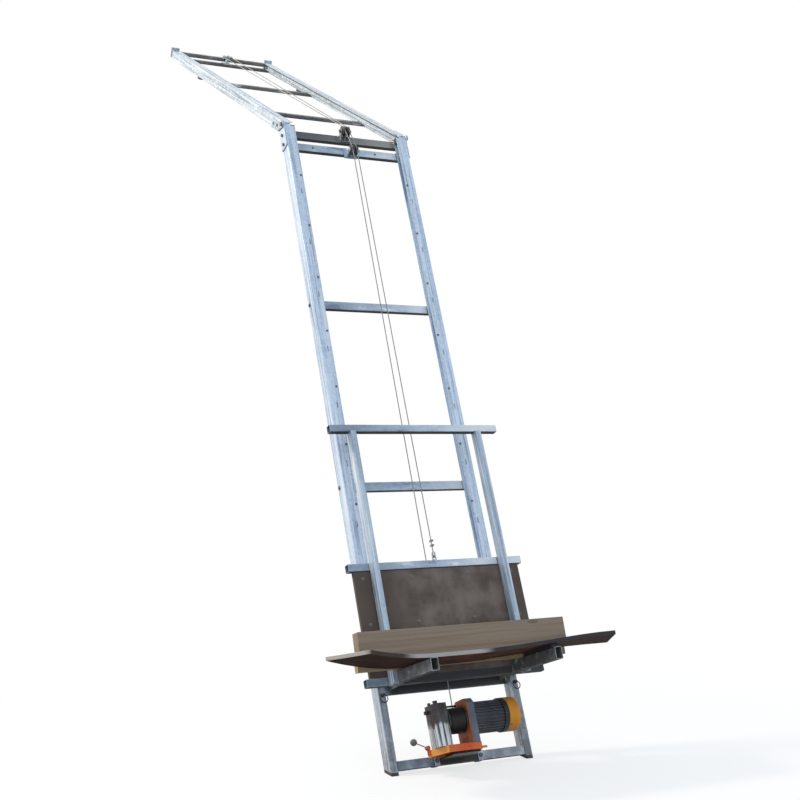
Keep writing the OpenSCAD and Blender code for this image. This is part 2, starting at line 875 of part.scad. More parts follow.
// An oil plug on the left face, a vent cap and a lifting bolt on top
module gearbox_plugs() {
    plug_r = 8;
    neck = 6;
    knob_l = 8;
    plug_at = [winch_y + 22, gearbox_high - 30];
    cap_step = 8;
    caps = [[outer_gear_x, winch_y - 34], [outer_gear_x - cap_step, winch_y + 18]];
    cap_r = [12, 8];
    color(dark) on_mast() {
        bar_x(gearbox_left - neck, gearbox_left, plug_r, plug_at);
        along_x(gearbox_left - neck - knob_l, gearbox_left - neck + cut) translate(plug_at)
            circle(plug_r + 2, $fn = 6);
        for (i = [0, 1]) translate([caps[i][0], caps[i][1], gearbox_high]) {
            cylinder(r = cap_r[i] / 2, h = neck);
            translate([0, 0, neck - cut]) cylinder(r = cap_r[i], h = knob_l + 2);
        }
    }
}

module counter_shaft() {
    color(steel) on_mast() bar_x(shaft_end, gearbox_right - 2, counter_r, counter);
}

// Teeth are slim, so that a pair runs free with the same backlash on both flanks
module gear_outline(teeth, first) {
    step = 360 / teeth;
    root = gear_m * (teeth / 2 - 1.3);
    tip = gear_m * (teeth / 2 + 0.9);
    polygon([for (i = [0:teeth - 1], q = [[root, -0.25], [tip, -0.09], [tip, 0.09], [root, 0.25]])
        let (a = first + (i + q[1]) * step) q[0] * [cos(a), sin(a)]]);
}

module cluster_gear() {
    color(steel) on_mast() difference() {
        union() {
            along_x(outer_gear_x, outer_gear_x + gear_w) translate(counter)
                gear_outline(gear_teeth, 90 + 180 / gear_teeth);
            bar_x(outer_gear_x + gear_w - cut, inner_gear_x + cut, gear_m * 5.5, counter);
            along_x(inner_gear_x, inner_gear_x + gear_w) translate(counter) gear_outline(pinion_teeth, 90);
        }
        bar_x(outer_gear_x - cut, inner_gear_x + gear_w + cut, counter_r + fit, counter);
    }
}

module drum() {
    core_r = drum_rope_r * cos(180 / loop_rings) - rope_r - seat;
    hub_to = flange_x + hub_in;
    color(dark) on_mast() difference() {
        union() {
            bar_x(drum_left, drum_right, core_r, winch);
            bar_x(drum_left, drum_left + drum_lip_t, drum_lip_r, winch);
            bar_x(drum_right - drum_lip_t, drum_right, drum_lip_r, winch);
            bar_x(inner_gear_x, hub_to, hub_r, winch);
            along_x(inner_gear_x, inner_gear_x + gear_w) translate(winch)
                gear_outline(gear_teeth, 270 + 180 / gear_teeth);
        }
        bar_x(inner_gear_x - cut, hub_to + cut, shaft_r + seat, winch);
    }
}

// The outer layer starts at the left, ends under the rising rope and leaves the drum upwards
function wind_point(i) =
    let (a = -360 * (wind_rings - i) / loop_rings)
    [-rope_drum_x - drum_step * (wind_rings - i) / loop_rings,
     winch_y + drum_rope_r * cos(a), winch_v + drum_rope_r * sin(a)];

wind_path = concat(
    [wind_point(0) - [0, 0, rope_d]],
    [for (i = [0:wind_rings]) wind_point(i)],
    [wind_point(wind_rings) + [0, 0, rope_d]]);
wind_gap = min([for (i = [0:len(wind_path) - 1], j = [i + loop_rings - 4:len(wind_path) - 1])
    if (j < len(wind_path)) norm(wind_path[i] - wind_path[j])]) - rope_d;

module drum_rope() {
    echo(drum_rope_least_gap = wind_gap);
    color(steel) on_mast() tube_along(wind_path, rope_r, wind_sides, [1, 0, 0]);
}

module drum_plate() {
    out = flange_half + 4;
    slant = 26;
    slot = [6, 26];
    slot_gap = 15;
    slot_up = 8;
    color(orange) on_mast() along_x(drum_plate_x, drum_plate_x + drum_plate_t) difference() {
        polygon([[winch_y - out, tray_top], [winch_y - out, flange_high - slant],
                 [winch_y - out + slant, flange_high], [winch_y + out - slant, flange_high],
                 [winch_y + out, flange_high - slant], [winch_y + out, tray_top]]);
        translate(winch) circle(hub_r + fit);
        for (p = rods)
            translate(winch + p) circle(rod_r + fit);
        for (i = [-2:2])
            translate([winch_y + i * slot_gap - slot[0] / 2, tray_top + slot_up]) square(slot);
    }
}

module tie_rods() {
    color(steel) on_mast() for (p = rods)
        bar_x(gearbox_right - gearbox_cover_t + fit, flange_x - fit, rod_r, winch + p);
}

module motor_flange() {
    out = flange_half;
    slant = 22;
    color(grey) on_mast() difference() {
        along_x(flange_x, flange_x + flange_t)
            polygon([[winch_y - out, tray_top], [winch_y - out, flange_high - slant],
                     [winch_y - out + slant, flange_high], [winch_y + out - slant, flange_high],
                     [winch_y + out, flange_high - slant], [winch_y + out, tray_top]]);
        bar_x(flange_x - cut, flange_x + hub_in + 2 * cut, hub_r + fit, winch);
        bar_x(flange_x - cut, flange_x + flange_t + cut, rotor_r + fit, winch);
    }
}

module motor_body() {
    color(grey) on_mast() along_x(motor_x, shield_x) translate(winch) difference() {
        union() {
            circle(motor_r);
            for (i = [0:fins - 1])
                rotate(i * 360 / fins) translate([0, -fin_t / 2]) square([fin_r, fin_t]);
        }
        circle(motor_bore);
    }
}

module stator() {
    color(copper) on_mast() difference() {
        bar_x(stator_from, stator_to, motor_bore - fit, winch);
        bar_x(motor_x, shield_x, stator_bore, winch);
    }
}

module rotor() {
    rotor_core = stator_bore - cut;
    core_in = 2;
    tail = 34;
    color(steel) on_mast() {
        bar_x(shaft_end, flange_x + hub_in + cut, shaft_r, winch);
        bar_x(flange_x + hub_in, cover_x + tail, rotor_r, winch);
        bar_x(stator_from + core_in, stator_to - core_in, rotor_core, winch);
        along_x(outer_gear_x, outer_gear_x + gear_w) translate(winch) gear_outline(pinion_teeth, 270);
    }
}

module motor_shield() {
    boss_l = 10;
    boss_r = 24;
    color(dark) on_mast() difference() {
        union() {
            bar_x(shield_x, cover_x, shield_r, winch);
            bar_x(shield_x - boss_l, shield_x + cut, boss_r, winch);
        }
        bar_x(shield_x - boss_l - cut, cover_x + cut, rotor_r + fit, winch);
    }
}

module motor_fan() {
    hub_x = cover_x + 8;
    hub_l = 24;
    fan_hub_r = 18;
    blades = 7;
    blade_r = 66;
    blade_t = 3;
    blade_from = 12;
    color(dark) on_mast() difference() {
        union() {
            bar_x(hub_x, hub_x + hub_l, fan_hub_r, winch);
            bar_x(hub_x, hub_x + blade_t, blade_r, winch);
            along_x(hub_x + blade_t - cut, hub_x + hub_l) translate(winch) for (i = [0:blades - 1])
                rotate(i * 360 / blades) translate([blade_from, -blade_t / 2])
                    square([blade_r - blade_from, blade_t]);
        }
        bar_x(hub_x - cut, hub_x + hub_l + cut, rotor_r + fit, winch);
    }
}

module fan_cover() {
    round = 14;
    slots = 12;
    slot = [34, 8];
    slot_from = 24;
    color(amber) on_mast() difference() {
        translate([cover_x, winch_y, winch_v]) rotate([0, 90, 0]) rotate_extrude() difference() {
            union() {
                square([cover_r, cover_l - round]);
                square([cover_r - round, cover_l]);
                translate([cover_r - round, cover_l - round]) circle(round);
            }
            translate([-cut, -cut]) square([cover_r - cover_wall + cut, cover_l - round + cut]);
            translate([-cut, -cut]) square([cover_r - round + cut, cover_l - cover_wall + cut]);
            translate([-far, -far]) square([far, 2 * far]);
        }
        along_x(cover_x + cover_l - cover_wall - cut, cover_x + cover_l + cut) translate(winch)
            for (i = [0:slots - 1])
                rotate(i * 360 / slots) translate([slot_from, -slot[1] / 2]) square(slot);
    }
}

module terminal_box() {
    box = [76, 46, 62];
    gland_r = 11;
    gland_l = 18;
    from = [motor_x + 40, winch_y + fin_r + seat, winch_v - box[2] / 2];
    color(dark) on_mast() {
        translate(from) cube(box);
        translate([from[0] + box[0] / 2, from[1] + box[1] / 2, from[2] - gland_l])
            cylinder(r = gland_r, h = gland_l + cut);
    }
}

// Carriage

module carriage_top_bar() {
    half = bar_half - 4;
    color(zinc) on_mast()
        cross_tube(half, -bar_front - bar - top_bar_set, upright_top + bar / 2, bar, bar, light_wall);
}

module carriage_cross_bars() {
    color(zinc) on_mast() for (v = cross_bar_places)
        cross_tube(bar_half, -bar_front, v, bar, bar, light_wall);
}

module carriage_uprights() {
    low = cross_bar_places[0] - bar / 2 - 4;
    color(zinc) on_mast() each_side()
        translate([upright_in + upright_w / 2, -bar_front - upright_d / 2, low])
            linear_extrude(upright_top - low) tube_outline(upright_w, upright_d, light_wall);
}

// Plates behind the cross bars carry the guide rollers' stub axles, and a lug holds the rope
module carriage_brackets() {
    back = rail_d - 4;
    out = bracket_in + bracket_plate;
    over = 24;
    lug_r = 14;
    color(steel) on_mast() {
        each_side() for (i = [0, 1]) {
            v = roller_places[i];
            low = min(cross_bar_places[i] - bar / 2, v - over);
            along_x(bracket_in, out) translate([-bar_gap, low]) square([bar_gap + back, v + over - low]);
            bar_x(out - cut, roller_out, roller_axle, [roller_y, v]);
        }
        along_x(rope_down_x - lug_t / 2, rope_down_x + lug_t / 2) difference() {
            union() {
                translate([-bar_gap, cross_bar_places[1] - bar / 2 + corner])
                    square([bar_gap - rope_n, bar - 2 * corner]);
                translate([shackle_y, shackle_v]) circle(lug_r);
                polygon([[-bar_gap, cross_bar_places[1] + bar / 2 - corner], [shackle_y, cross_bar_places[1]],
                         [shackle_y + lug_r, shackle_v], [shackle_y - lug_r, shackle_v]]);
            }
            translate([shackle_y, shackle_v]) circle(shackle_r + 1 + fit);
        }
    }
}

module guide_rollers(v) {
    color(dark) on_mast() each_side()
        translate([roller_out - roller_w - seat, roller_y, v]) rotate([0, 90, 0]) difference() {
            cylinder(r = roller_r, h = roller_w);
            translate([0, 0, -cut]) cylinder(r = roller_axle + fit, h = roller_w + 2 * cut);
        }
}

module lower_rollers() { guide_rollers(roller_places[0]); }
module upper_rollers() { guide_rollers(roller_places[1]); }

module load_arms() {
    color(zinc) on_mast() each_side() intersection() {
        translate([arm_x, -arm_reach, arm_tip_v]) rotate([arm_slope - 90, 0, 0])
            linear_extrude(arm_reach) tube_outline(arm_w, arm_h, stile_wall);
        translate([0, -far - bar_front, 0]) cube(far);
    }
}

// The deck's own frame: x along the mast's x, y to the back on top of the load arms
module on_deck() {
    on_mast() translate([0, -arm_reach, deck_front_v]) rotate([arm_slope, 0, 0]) children();
}

module deck_batten() {
    color(timber) on_deck() translate([-batten[0], batten_back - batten[1], 0])
        cube([2 * batten[0], batten[1], batten[2]]);
}

// The deck's left end bows up past the arm and its right half lies higher, on a packing strip
function bow(x) =
    x < deck_bow_from ? pow(x - deck_bow_from, 2) / 2 / deck_bow_r :
    x < deck_lift_x[0] ? 0 :
    x > deck_lift_x[1] ? deck_lift :
    deck_lift / 2 * (1 - cos(180 * (x - deck_lift_x[0]) / (deck_lift_x[1] - deck_lift_x[0])));
bow_xs = concat(
    [for (i = [0:bow_steps]) deck_left + (deck_bow_from - deck_left) * i / bow_steps],
    [for (i = [0:bow_steps]) deck_lift_x[0] + (deck_lift_x[1] - deck_lift_x[0]) * i / bow_steps],
    [deck_right]);

module deck_board() {
    last = len(bow_xs) - 1;
    under = [for (x = bow_xs) [x, bow(x)]];
    over = [for (i = [last:-1:0]) [bow_xs[i], bow(bow_xs[i]) + deck_t]];
    packing_x = arm_x - arm_w / 2;
    color(plywood) on_deck() {
        difference() {
            translate([0, deck_depth, 0]) rotate([90, 0, 0]) linear_extrude(deck_depth)
                polygon(concat(under, over));
            linear_extrude(far, center = true)
                polygon([[deck_left_front, -cut], [deck_left_rear, deck_depth + cut],
                         [2 * deck_left, deck_depth + cut], [2 * deck_left, -cut]]);
            linear_extrude(far, center = true)
                polygon([[deck_right_front, -cut], [deck_right_rear, deck_depth + cut],
                         [2 * deck_right, deck_depth + cut], [2 * deck_right, -cut]]);
        }
        translate([packing_x, packing_in, 0]) cube([arm_w, packing_l, bow(packing_x) - seat]);
    }
}

module kick_timber() {
    xs = concat([timber_left], [for (x = bow_xs) if (x > timber_left && x < timber_right) x], [timber_right]);
    foot = [for (x = xs) [x, bow(x) + deck_t + seat]];
    top = deck_t + timber_h;
    behind = 15;
    color(timber) on_deck() translate([0, deck_depth - behind, 0]) rotate([90, 0, 0]) linear_extrude(timber_t)
        polygon(concat(foot, [[timber_right, top], [timber_left, top]]));
}

module back_board() {
    low = cross_bar_places[0] + bar / 2 + seat;
    high = cross_bar_places[1] - bar / 2 - 2;
    color(plywood) on_mast() translate([-board_half, -bar_front + 6, low])
        cube([2 * board_half, deck_t, high - low]);
}

// Bow shackle through the carriage's lug, the rope's eye in it and two rope clips above
module rope_shackle() {
    pin_over = 6;
    clip = [16, 20, 10];
    clip_places = [26, 52];
    color(steel) on_mast() translate([rope_down_x, shackle_y, 0]) {
        translate([0, 0, shackle_v]) rotate([0, 90, 0])
            cylinder(r = shackle_r + 1, h = 2 * (shackle_half + shackle_r + pin_over), center = true);
        for (x = [-shackle_half, shackle_half])
            translate([x, 0, shackle_v]) cylinder(r = shackle_r, h = shackle_bow - shackle_half);
        translate([0, 0, shackle_top - shackle_half]) rotate([90, 0, 0])
            rotate_extrude(angle = 180) translate([shackle_half, 0]) circle(shackle_r);
        translate([0, 0, eye_v]) rotate([0, 90, 0]) rotate_extrude() translate([eye_r, 0]) circle(eye_wire);
        for (z = clip_places) translate([0, 0, fall_from + z]) difference() {
            translate([-clip[0] / 2, -clip[1] / 2, 0]) cube(clip);
            translate([0, 0, -cut]) cylinder(r = rope_r + seat, h = clip[2] + 2 * cut);
        }
    }
}

base_stiles();
mast_stiles();
mast_rails();
ladder_rungs();
section_spigots();
lock_pins();
feet();
rail_ends();
knee_plates();
knee_bolts();
knee_block();
upper_block();
winch_bracket();
winch_clamps();
winch_tray();
gearbox_housing();
gearbox_cover();
gearbox_plugs();
counter_shaft();
drum_plate();
motor_flange();
tie_rods();
motor_body();
motor_shield();
fan_cover();
terminal_box();
stator();
rope_winch_line();
rope_knee_run();
knee_sheave_rising();
knee_sheave_falling();
upper_sheave_rising();
upper_sheave_falling();
drum();
drum_rope();
cluster_gear();
rotor();
motor_fan();
limit_lever();
carriage_top_bar();
carriage_cross_bars();
carriage_uprights();
carriage_brackets();
lower_rollers();
upper_rollers();
load_arms();
deck_batten();
deck_board();
back_board();
kick_timber();
rope_shackle();
rope_fall();
head_stiles();
head_rails();
head_rungs();
head_plates();
head_pads();
end_block();
end_sheave();
rope_head_loop();
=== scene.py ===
import json
import math

import bpy
from mathutils import Matrix, Vector


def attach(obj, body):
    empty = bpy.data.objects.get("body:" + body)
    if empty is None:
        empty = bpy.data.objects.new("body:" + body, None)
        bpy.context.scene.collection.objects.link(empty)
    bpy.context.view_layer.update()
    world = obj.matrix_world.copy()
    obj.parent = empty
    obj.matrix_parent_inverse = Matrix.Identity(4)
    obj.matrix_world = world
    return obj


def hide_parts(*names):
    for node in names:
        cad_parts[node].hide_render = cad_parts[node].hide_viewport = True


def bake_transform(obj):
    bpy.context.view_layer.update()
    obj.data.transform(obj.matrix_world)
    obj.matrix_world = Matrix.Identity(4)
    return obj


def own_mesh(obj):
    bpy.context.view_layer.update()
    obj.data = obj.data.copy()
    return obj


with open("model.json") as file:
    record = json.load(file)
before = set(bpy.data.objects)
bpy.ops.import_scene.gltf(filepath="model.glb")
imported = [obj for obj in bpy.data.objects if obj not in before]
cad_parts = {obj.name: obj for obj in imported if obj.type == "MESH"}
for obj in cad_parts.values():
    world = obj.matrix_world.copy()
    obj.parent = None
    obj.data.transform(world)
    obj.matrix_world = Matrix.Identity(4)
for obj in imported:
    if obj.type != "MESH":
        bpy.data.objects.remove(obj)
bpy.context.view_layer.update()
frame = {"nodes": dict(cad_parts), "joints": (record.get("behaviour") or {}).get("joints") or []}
nodes = frame["nodes"]
joints = {joint["name"]: joint for joint in frame["joints"]}

# Camera: stands in front of the hoist's left side at eye height and looks slightly up,
# with a normal lens, so that the mast runs up to the left and the head points away.
EYE = Vector((-3.045, -5.490, 1.658))
HEADING = math.radians(26.09)
TILT_UP = math.radians(1.46)
SENSOR = 36.0
FOCAL_PIXELS = 1257.5
PICTURE = 800

camera_data = bpy.data.cameras.new("camera")
camera_data.sensor_width = SENSOR
camera_data.lens = SENSOR * FOCAL_PIXELS / PICTURE
camera = bpy.data.objects.new("camera", camera_data)
camera.location = EYE
camera.rotation_euler = (math.pi / 2 + TILT_UP, 0, -HEADING)
bpy.context.scene.collection.objects.link(camera)
bpy.context.scene.camera = camera


# Studio: a plain floor that runs to the horizon, a warm lamp at the back left for the sunlit side,
# a weak one at the front, and a pale blue sky. The background shows white.
WHITE = (1, 1, 1, 1)
FLOOR_HALF = 60.0
FLOOR_PALE = (0.17, 0.165, 0.16, 1)
FLOOR_SHADED = (0.80, 0.80, 0.80, 1)
FLOOR_GLOW = 0.72
SHADOW_FROM, SHADOW_TO = 1.2, 3.2
SKY = (0.74, 0.87, 1.0, 1)
LAMPS = {
    "sun_lamp": ((-7.9, 5.4, 8.4), 1.6, 1200, (1.0, 0.87, 0.68)),
    "front_lamp": ((-3.0, -9.0, 4.0), 5.0, 120, (0.92, 0.96, 1.0)),
}
MIDDLE = Vector((0, 1.2, 2.0))


class Link:
    """An output socket of a node tree that takes part in arithmetic."""

    def __init__(self, nodes, socket):
        self.nodes, self.socket = nodes, socket

    def math(self, operation, *operands):
        return self.nodes.add("ShaderNodeMath", {"operation": operation}, dict(enumerate(operands)))

    def __add__(self, other):
        return self.math("ADD", self, other)

    def __sub__(self, other):
        return self.math("SUBTRACT", self, other)

    def __rsub__(self, other):
        return self.math("SUBTRACT", other, self)

    def __mul__(self, other):
        return self.math("MULTIPLY", self, other)

    def __truediv__(self, other):
        return self.math("DIVIDE", self, other)

    def __rtruediv__(self, other):
        return self.math("DIVIDE", other, self)

    __radd__, __rmul__ = __add__, __mul__

    def between(self, low, high):
        """0 below low, 1 above high and smooth between them."""
        ends = {"Value": self, "From Min": low, "From Max": high}
        return self.nodes.add("ShaderNodeMapRange", {"interpolation_type": "SMOOTHSTEP"}, ends)

    def part(self, name):
        """Another output of the same node."""
        return Link(self.nodes, self.socket.node.outputs[name])


class Nodes:
    """A node tree that is built by adding nodes with their settings and sockets."""

    def __init__(self, tree):
        self.tree = tree
        tree.nodes.clear()

    def add(self, kind, settings=(), sockets=(), out=0):
        node = self.tree.nodes.new(kind)
        for name, value in dict(settings).items():
            setattr(node, name, value)
        for name, value in dict(sockets).items():
            if isinstance(value, Link):
                self.tree.links.new(value.socket, node.inputs[name])
            else:
                node.inputs[name].default_value = value
        return Link(self, node.outputs[out]) if node.outputs else node


def seen_directly(tree):
    """1 for what the camera, a mirror or a glass sees, 0 for light on the object."""
    rays = tree.add("ShaderNodeLightPath", out="Is Camera Ray")
    return (rays + rays.part("Is Glossy Ray") + rays.part("Is Transmission Ray")).between(0, 1)


floor_paint = bpy.data.materials.new("floor_paint")
floor_paint.use_nodes = True
shade = Nodes(floor_paint.node_tree)
matt = shade.add("ShaderNodeBsdfDiffuse", sockets={"Color": FLOOR_PALE})
caught = shade.add("ShaderNodeBsdfDiffuse", sockets={"Color": FLOOR_SHADED})
white = shade.add("ShaderNodeEmission", sockets={"Color": WHITE, "Strength": 1.0})
spot = shade.add("ShaderNodeTexCoord", out="Object")
reach = shade.add("ShaderNodeVectorMath", {"operation": "LENGTH"}, {0: spot}, out="Value")
glow = reach.between(SHADOW_FROM, SHADOW_TO) * (1 - FLOOR_GLOW) + FLOOR_GLOW
shown = shade.add("ShaderNodeMixShader", sockets={0: glow, 1: caught, 2: white})
mixed = shade.add("ShaderNodeMixShader", sockets={0: seen_directly(shade), 1: matt, 2: shown})
shade.add("ShaderNodeOutputMaterial", sockets={"Surface": mixed})

floor_mesh = bpy.data.meshes.new("floor")
floor_corners = [(x * FLOOR_HALF, y * FLOOR_HALF, 0) for x, y in ((-1, -1), (1, -1), (1, 1), (-1, 1))]
floor_mesh.from_pydata(floor_corners, [], [(0, 1, 2, 3)])
floor_mesh.materials.append(floor_paint)
floor = bpy.data.objects.new("floor", floor_mesh)
bpy.context.scene.collection.objects.link(floor)

world = bpy.data.worlds.new("sky")
world.use_nodes = True
bpy.context.scene.world = world
shade = Nodes(world.node_tree)
sky = shade.add("ShaderNodeBackground", sockets={"Color": SKY, "Strength": 1.0})
paper = shade.add("ShaderNodeBackground", sockets={"Color": WHITE, "Strength": 1.0})
mixed = shade.add("ShaderNodeMixShader", sockets={0: seen_directly(shade), 1: sky, 2: paper})
shade.add("ShaderNodeOutputWorld", sockets={"Surface": mixed})

for name, (place, size, power, colour) in LAMPS.items():
    lamp_data = bpy.data.lights.new(name, "AREA")
    lamp_data.size = size
    lamp_data.energy = power
    lamp_data.color = colour
    lamp = bpy.data.objects.new(name, lamp_data)
    lamp.location = place
    lamp.rotation_euler = (MIDDLE - Vector(place)).to_track_quat("-Z", "Y").to_euler()
    bpy.context.scene.collection.objects.link(lamp)

bpy.context.scene.view_settings.view_transform = "Standard"


# Hoist rope: galvanised wire rope, six strands laid round each other to 6 mm. It comes off the drum, runs
# over the knee pulleys and round the end pulley, and falls to the carriage's shackle, held all the way.
MAST_UP = Vector(joints["carriage_slide"]["axis"])
LEAN = math.atan2(MAST_UP.y, MAST_UP.z)
END_AXLE = Vector(joints["end_sheave_spin"]["axis"])
HEAD_LEAN = math.atan2(END_AXLE.z, -END_AXLE.y)
HINGE = Vector(joints["head_fold"]["pos_m"])
MAST = Matrix.Rotation(-LEAN, 4, "X")
HEAD = Matrix.Translation(HINGE) @ Matrix.Rotation(-HEAD_LEAN, 4, "X")
BEND = HEAD_LEAN - LEAN

ROPE_R = 0.003
ROPE_LAY = 0.042
ROPE_STEP = 0.004
STRANDS = 6
PROFILE_POINTS = 3 * STRANDS
GROOVE_DEPTH = 0.24
RISING_X, FALLING_X = 0.004, 0.031
KNEE_SHIFT = 0.020
ROPE_FRONT = -0.035
KNEE_PULLEY_R = 0.025
END_PULLEY_R = 0.035
END_PULLEY_AT = 2.565
LOW_PULLEY = Vector((-0.010, 3.640))
KNEE_PULLEY = Vector((0.012, 3.789))
DRUM_AXIS = Vector((-0.129, 0.212))
DRUM_ROPE_R = 0.057
DRUM_TURNS = 11
DRUM_STEP = 0.0068
DRUM_LEAVES_X = -0.046
TURN_POINTS = 48
FALL_FROM = 1.104
ROPE_TONES = (0.10, 0.095, 0.09, 1), (0.25, 0.25, 0.245, 1), (0.46, 0.46, 0.45, 1)
# The wound rope's tones are darker: grease, and painted shade.
GREASED_SHADED_TONES = (0.010, 0.010, 0.010, 1), (0.020, 0.020, 0.022, 1), (0.060, 0.059, 0.058, 1)


def finish(name, build):
    """A material with the shader sockets that build gives for its tree and the object's coordinates."""
    material = bpy.data.materials.new(name)
    material.use_nodes = True
    tree = Nodes(material.node_tree)
    place = tree.add("ShaderNodeTexCoord", out="Object")
    shader = tree.add("ShaderNodeBsdfPrincipled", sockets=build(tree, place))
    tree.add("ShaderNodeOutputMaterial", sockets={"Surface": shader})
    return material


def mottle(tree, place, scale, detail=3.0, roughness=0.55):
    """A soft random value between 0 and 1, about the middle."""
    sizes = {"Vector": place, "Scale": scale, "Detail": detail, "Roughness": roughness}
    return tree.add("ShaderNodeTexNoise", sockets=sizes)


def tint(tree, amount, first, second):
    """Goes from the first colour to the second."""
    return tree.add("ShaderNodeMix", {"data_type": "RGBA"}, {0: amount, 6: first, 7: second}, out=2)


def geometry_tree(name, sizes):
    """A geometry node group with named sizes; gives the group, its node tree and its input link."""
    group = bpy.data.node_groups.new(name, "GeometryNodeTree")
    for direction in ("INPUT", "OUTPUT"):
        group.interface.new_socket("Geometry", in_out=direction, socket_type="NodeSocketGeometry")
    for size, value in sizes.items():
        socket = group.interface.new_socket(size, in_out="INPUT", socket_type="NodeSocketFloat")
        socket.default_value = value
    tree = Nodes(group)
    return group, tree, tree.add("NodeGroupInput")


def resampled(tree, given):
    """The given curve in points that lie a step apart."""
    sockets = {"Curve": given, "Length": given.part("Step")}
    return tree.add("GeometryNodeResampleCurve", {"mode": "LENGTH"}, sockets)


def round_profile(tree, given, points):
    sockets = {"Resolution": points, "Radius": given.part("Radius")}
    return tree.add("GeometryNodeCurvePrimitiveCircle", {"mode": "RADIUS"}, sockets)


def swept(tree, path, profile):
    """A closed rod of a profile along a path."""
    sockets = {"Curve": path, "Profile Curve": profile, "Fill Caps": True}
    return tree.add("GeometryNodeCurveToMesh", sockets=sockets)


def end_tree(tree, geometry, material, smooth=True):
    """Closes a geometry tree: shading, plain mesh and material."""
    shaded = tree.add("GeometryNodeSetShadeSmooth", sockets={"Geometry": geometry, "Shade Smooth": smooth})
    real = tree.add("GeometryNodeRealizeInstances", sockets={"Geometry": shaded})
    dressed = tree.add("GeometryNodeSetMaterial", sockets={"Geometry": real, "Material": material})
    tree.add("NodeGroupOutput", sockets={"Geometry": dressed})


def placed(name, data):
    piece = bpy.data.objects.new(name, data)
    bpy.context.scene.collection.objects.link(piece)
    return piece


def grown(name, source, group, sizes=()):
    """The plain mesh that a geometry tree grows on a curve or mesh, as a new piece."""
    holder = placed(name + "_source", source)
    modifier = holder.modifiers.new(name, "NODES")
    modifier.node_group = group
    for item in group.interface.items_tree:
        if item.name in dict(sizes):
            modifier[item.identifier] = sizes[item.name]
    evaluated = holder.evaluated_get(bpy.context.evaluated_depsgraph_get())
    mesh = bpy.data.meshes.new_from_object(evaluated)
    holder.modifiers.remove(modifier)
    bpy.data.objects.remove(holder)
    return placed(name, mesh)


def routes(name, turned, paths):
    """A curve of open lines through points of the mast's or the head's frame."""
    curve = bpy.data.curves.new(name, "CURVE")
    curve.dimensions = "3D"
    for path in paths:
        spline = curve.splines.new("POLY")
        spline.points.add(len(path) - 1)
        for point, spot in zip(spline.points, path):
            point.co = (*(turned @ Vector(spot)), 1)
    return curve


def rope_paint(groove_shade, worn, bright):
    def build(tree, place):
        groove = tree.add("ShaderNodeAttribute", {"attribute_name": "groove"}, out="Fac")
        grease = mottle(tree, place, 9.0)
        wires = mottle(tree, place, 900.0, 2.0)
        colour = tint(tree, wires, worn, bright)
        # Painted shade in the grooves between the strands, deeper where the grease mottle is high.
        dark = groove.between(0.25, 1.0) * (grease * 0.5 + 0.45)
        return {"Base Color": tint(tree, dark, colour, groove_shade), "Metallic": 0.3,
                "Roughness": grease * 0.3 + 0.35}

    return build


rope_finish = finish("wire_rope", rope_paint(*ROPE_TONES))
greased_shaded_rope = finish("wire_rope_greased_shaded", rope_paint(*GREASED_SHADED_TONES))

rope_group, grow, given = geometry_tree("laid_rope", {"Radius": ROPE_R, "Lay": ROPE_LAY, "Step": ROPE_STEP})
run = grow.add("GeometryNodeSplineParameter", out="Length")
twist = run * (2 * math.pi) / given.part("Lay")
laid = grow.add("GeometryNodeSetCurveTilt", sockets={"Curve": resampled(grow, given), "Tilt": twist})
spot = grow.add("GeometryNodeInputPosition")
across = grow.add("ShaderNodeSeparateXYZ", sockets={0: spot})
turn = across.math("ARCTAN2", across.part("Y"), across)
groove = turn.math("COSINE", turn * STRANDS) * 0.5 + 0.5
circle = round_profile(grow, given, PROFILE_POINTS)
marked = grow.add("GeometryNodeStoreNamedAttribute", {"data_type": "FLOAT", "domain": "POINT"},
                  {"Geometry": circle, "Name": "groove", "Value": groove})
drawn_in = 1 - groove * GROOVE_DEPTH
inward = grow.add("ShaderNodeVectorMath", {"operation": "SCALE"}, {0: spot, "Scale": drawn_in})
lobed = grow.add("GeometryNodeSetPosition", sockets={"Geometry": marked, "Position": inward})
end_tree(grow, swept(grow, laid, lobed), rope_finish)


def rope(name, node, turned, *paths):
    """Rope along one or more lists of points of the mast's or the head's frame, in place of a solid."""
    piece = grown(name, routes(name, turned, paths), rope_group)
    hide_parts(node)
    return piece


def on_pulley(x, pulley, angle, r=KNEE_PULLEY_R):
    return (x, pulley.x - r * math.cos(angle), pulley.y + r * math.sin(angle))


def steps(first, last, count):
    return [first + (last - first) * i / count for i in range(count + 1)]


low_end = {x: (x, ROPE_FRONT, LOW_PULLEY.y) for x in (RISING_X, FALLING_X)}
drum_end = (DRUM_LEAVES_X, DRUM_AXIS.x + DRUM_ROPE_R, DRUM_AXIS.y)
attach(rope("rising_rope", "rope_winch_line", MAST, [drum_end, low_end[RISING_X]]), "ladder")

rise = KNEE_PULLEY - LOW_PULLEY
run_angle = math.atan2(rise.x, rise.y)
knee_paths = [
    [on_pulley(x, LOW_PULLEY, angle) for angle in steps(0, run_angle, 3)]
    + [on_pulley(x - KNEE_SHIFT, KNEE_PULLEY, angle) for angle in steps(run_angle, BEND, 12)]
    for x in (RISING_X, FALLING_X)
]
knee_rope = rope("knee_rope", "rope_knee_run", MAST, *knee_paths)
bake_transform(knee_rope)

END_MIDDLE = (RISING_X + FALLING_X) / 2
end_turn = []
for angle in steps(0, math.pi, 24):
    x = END_MIDDLE - END_PULLEY_R * math.cos(angle)
    end_turn.append((x, -KNEE_PULLEY_R, END_PULLEY_AT + END_PULLEY_R * math.sin(angle)))
head_starts, head_ends = ((x - KNEE_SHIFT, -KNEE_PULLEY_R, 0) for x in (RISING_X, FALLING_X))
head_path = [head_starts, *end_turn, head_ends]
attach(rope("head_rope", "rope_head_loop", HEAD, head_path), "head")

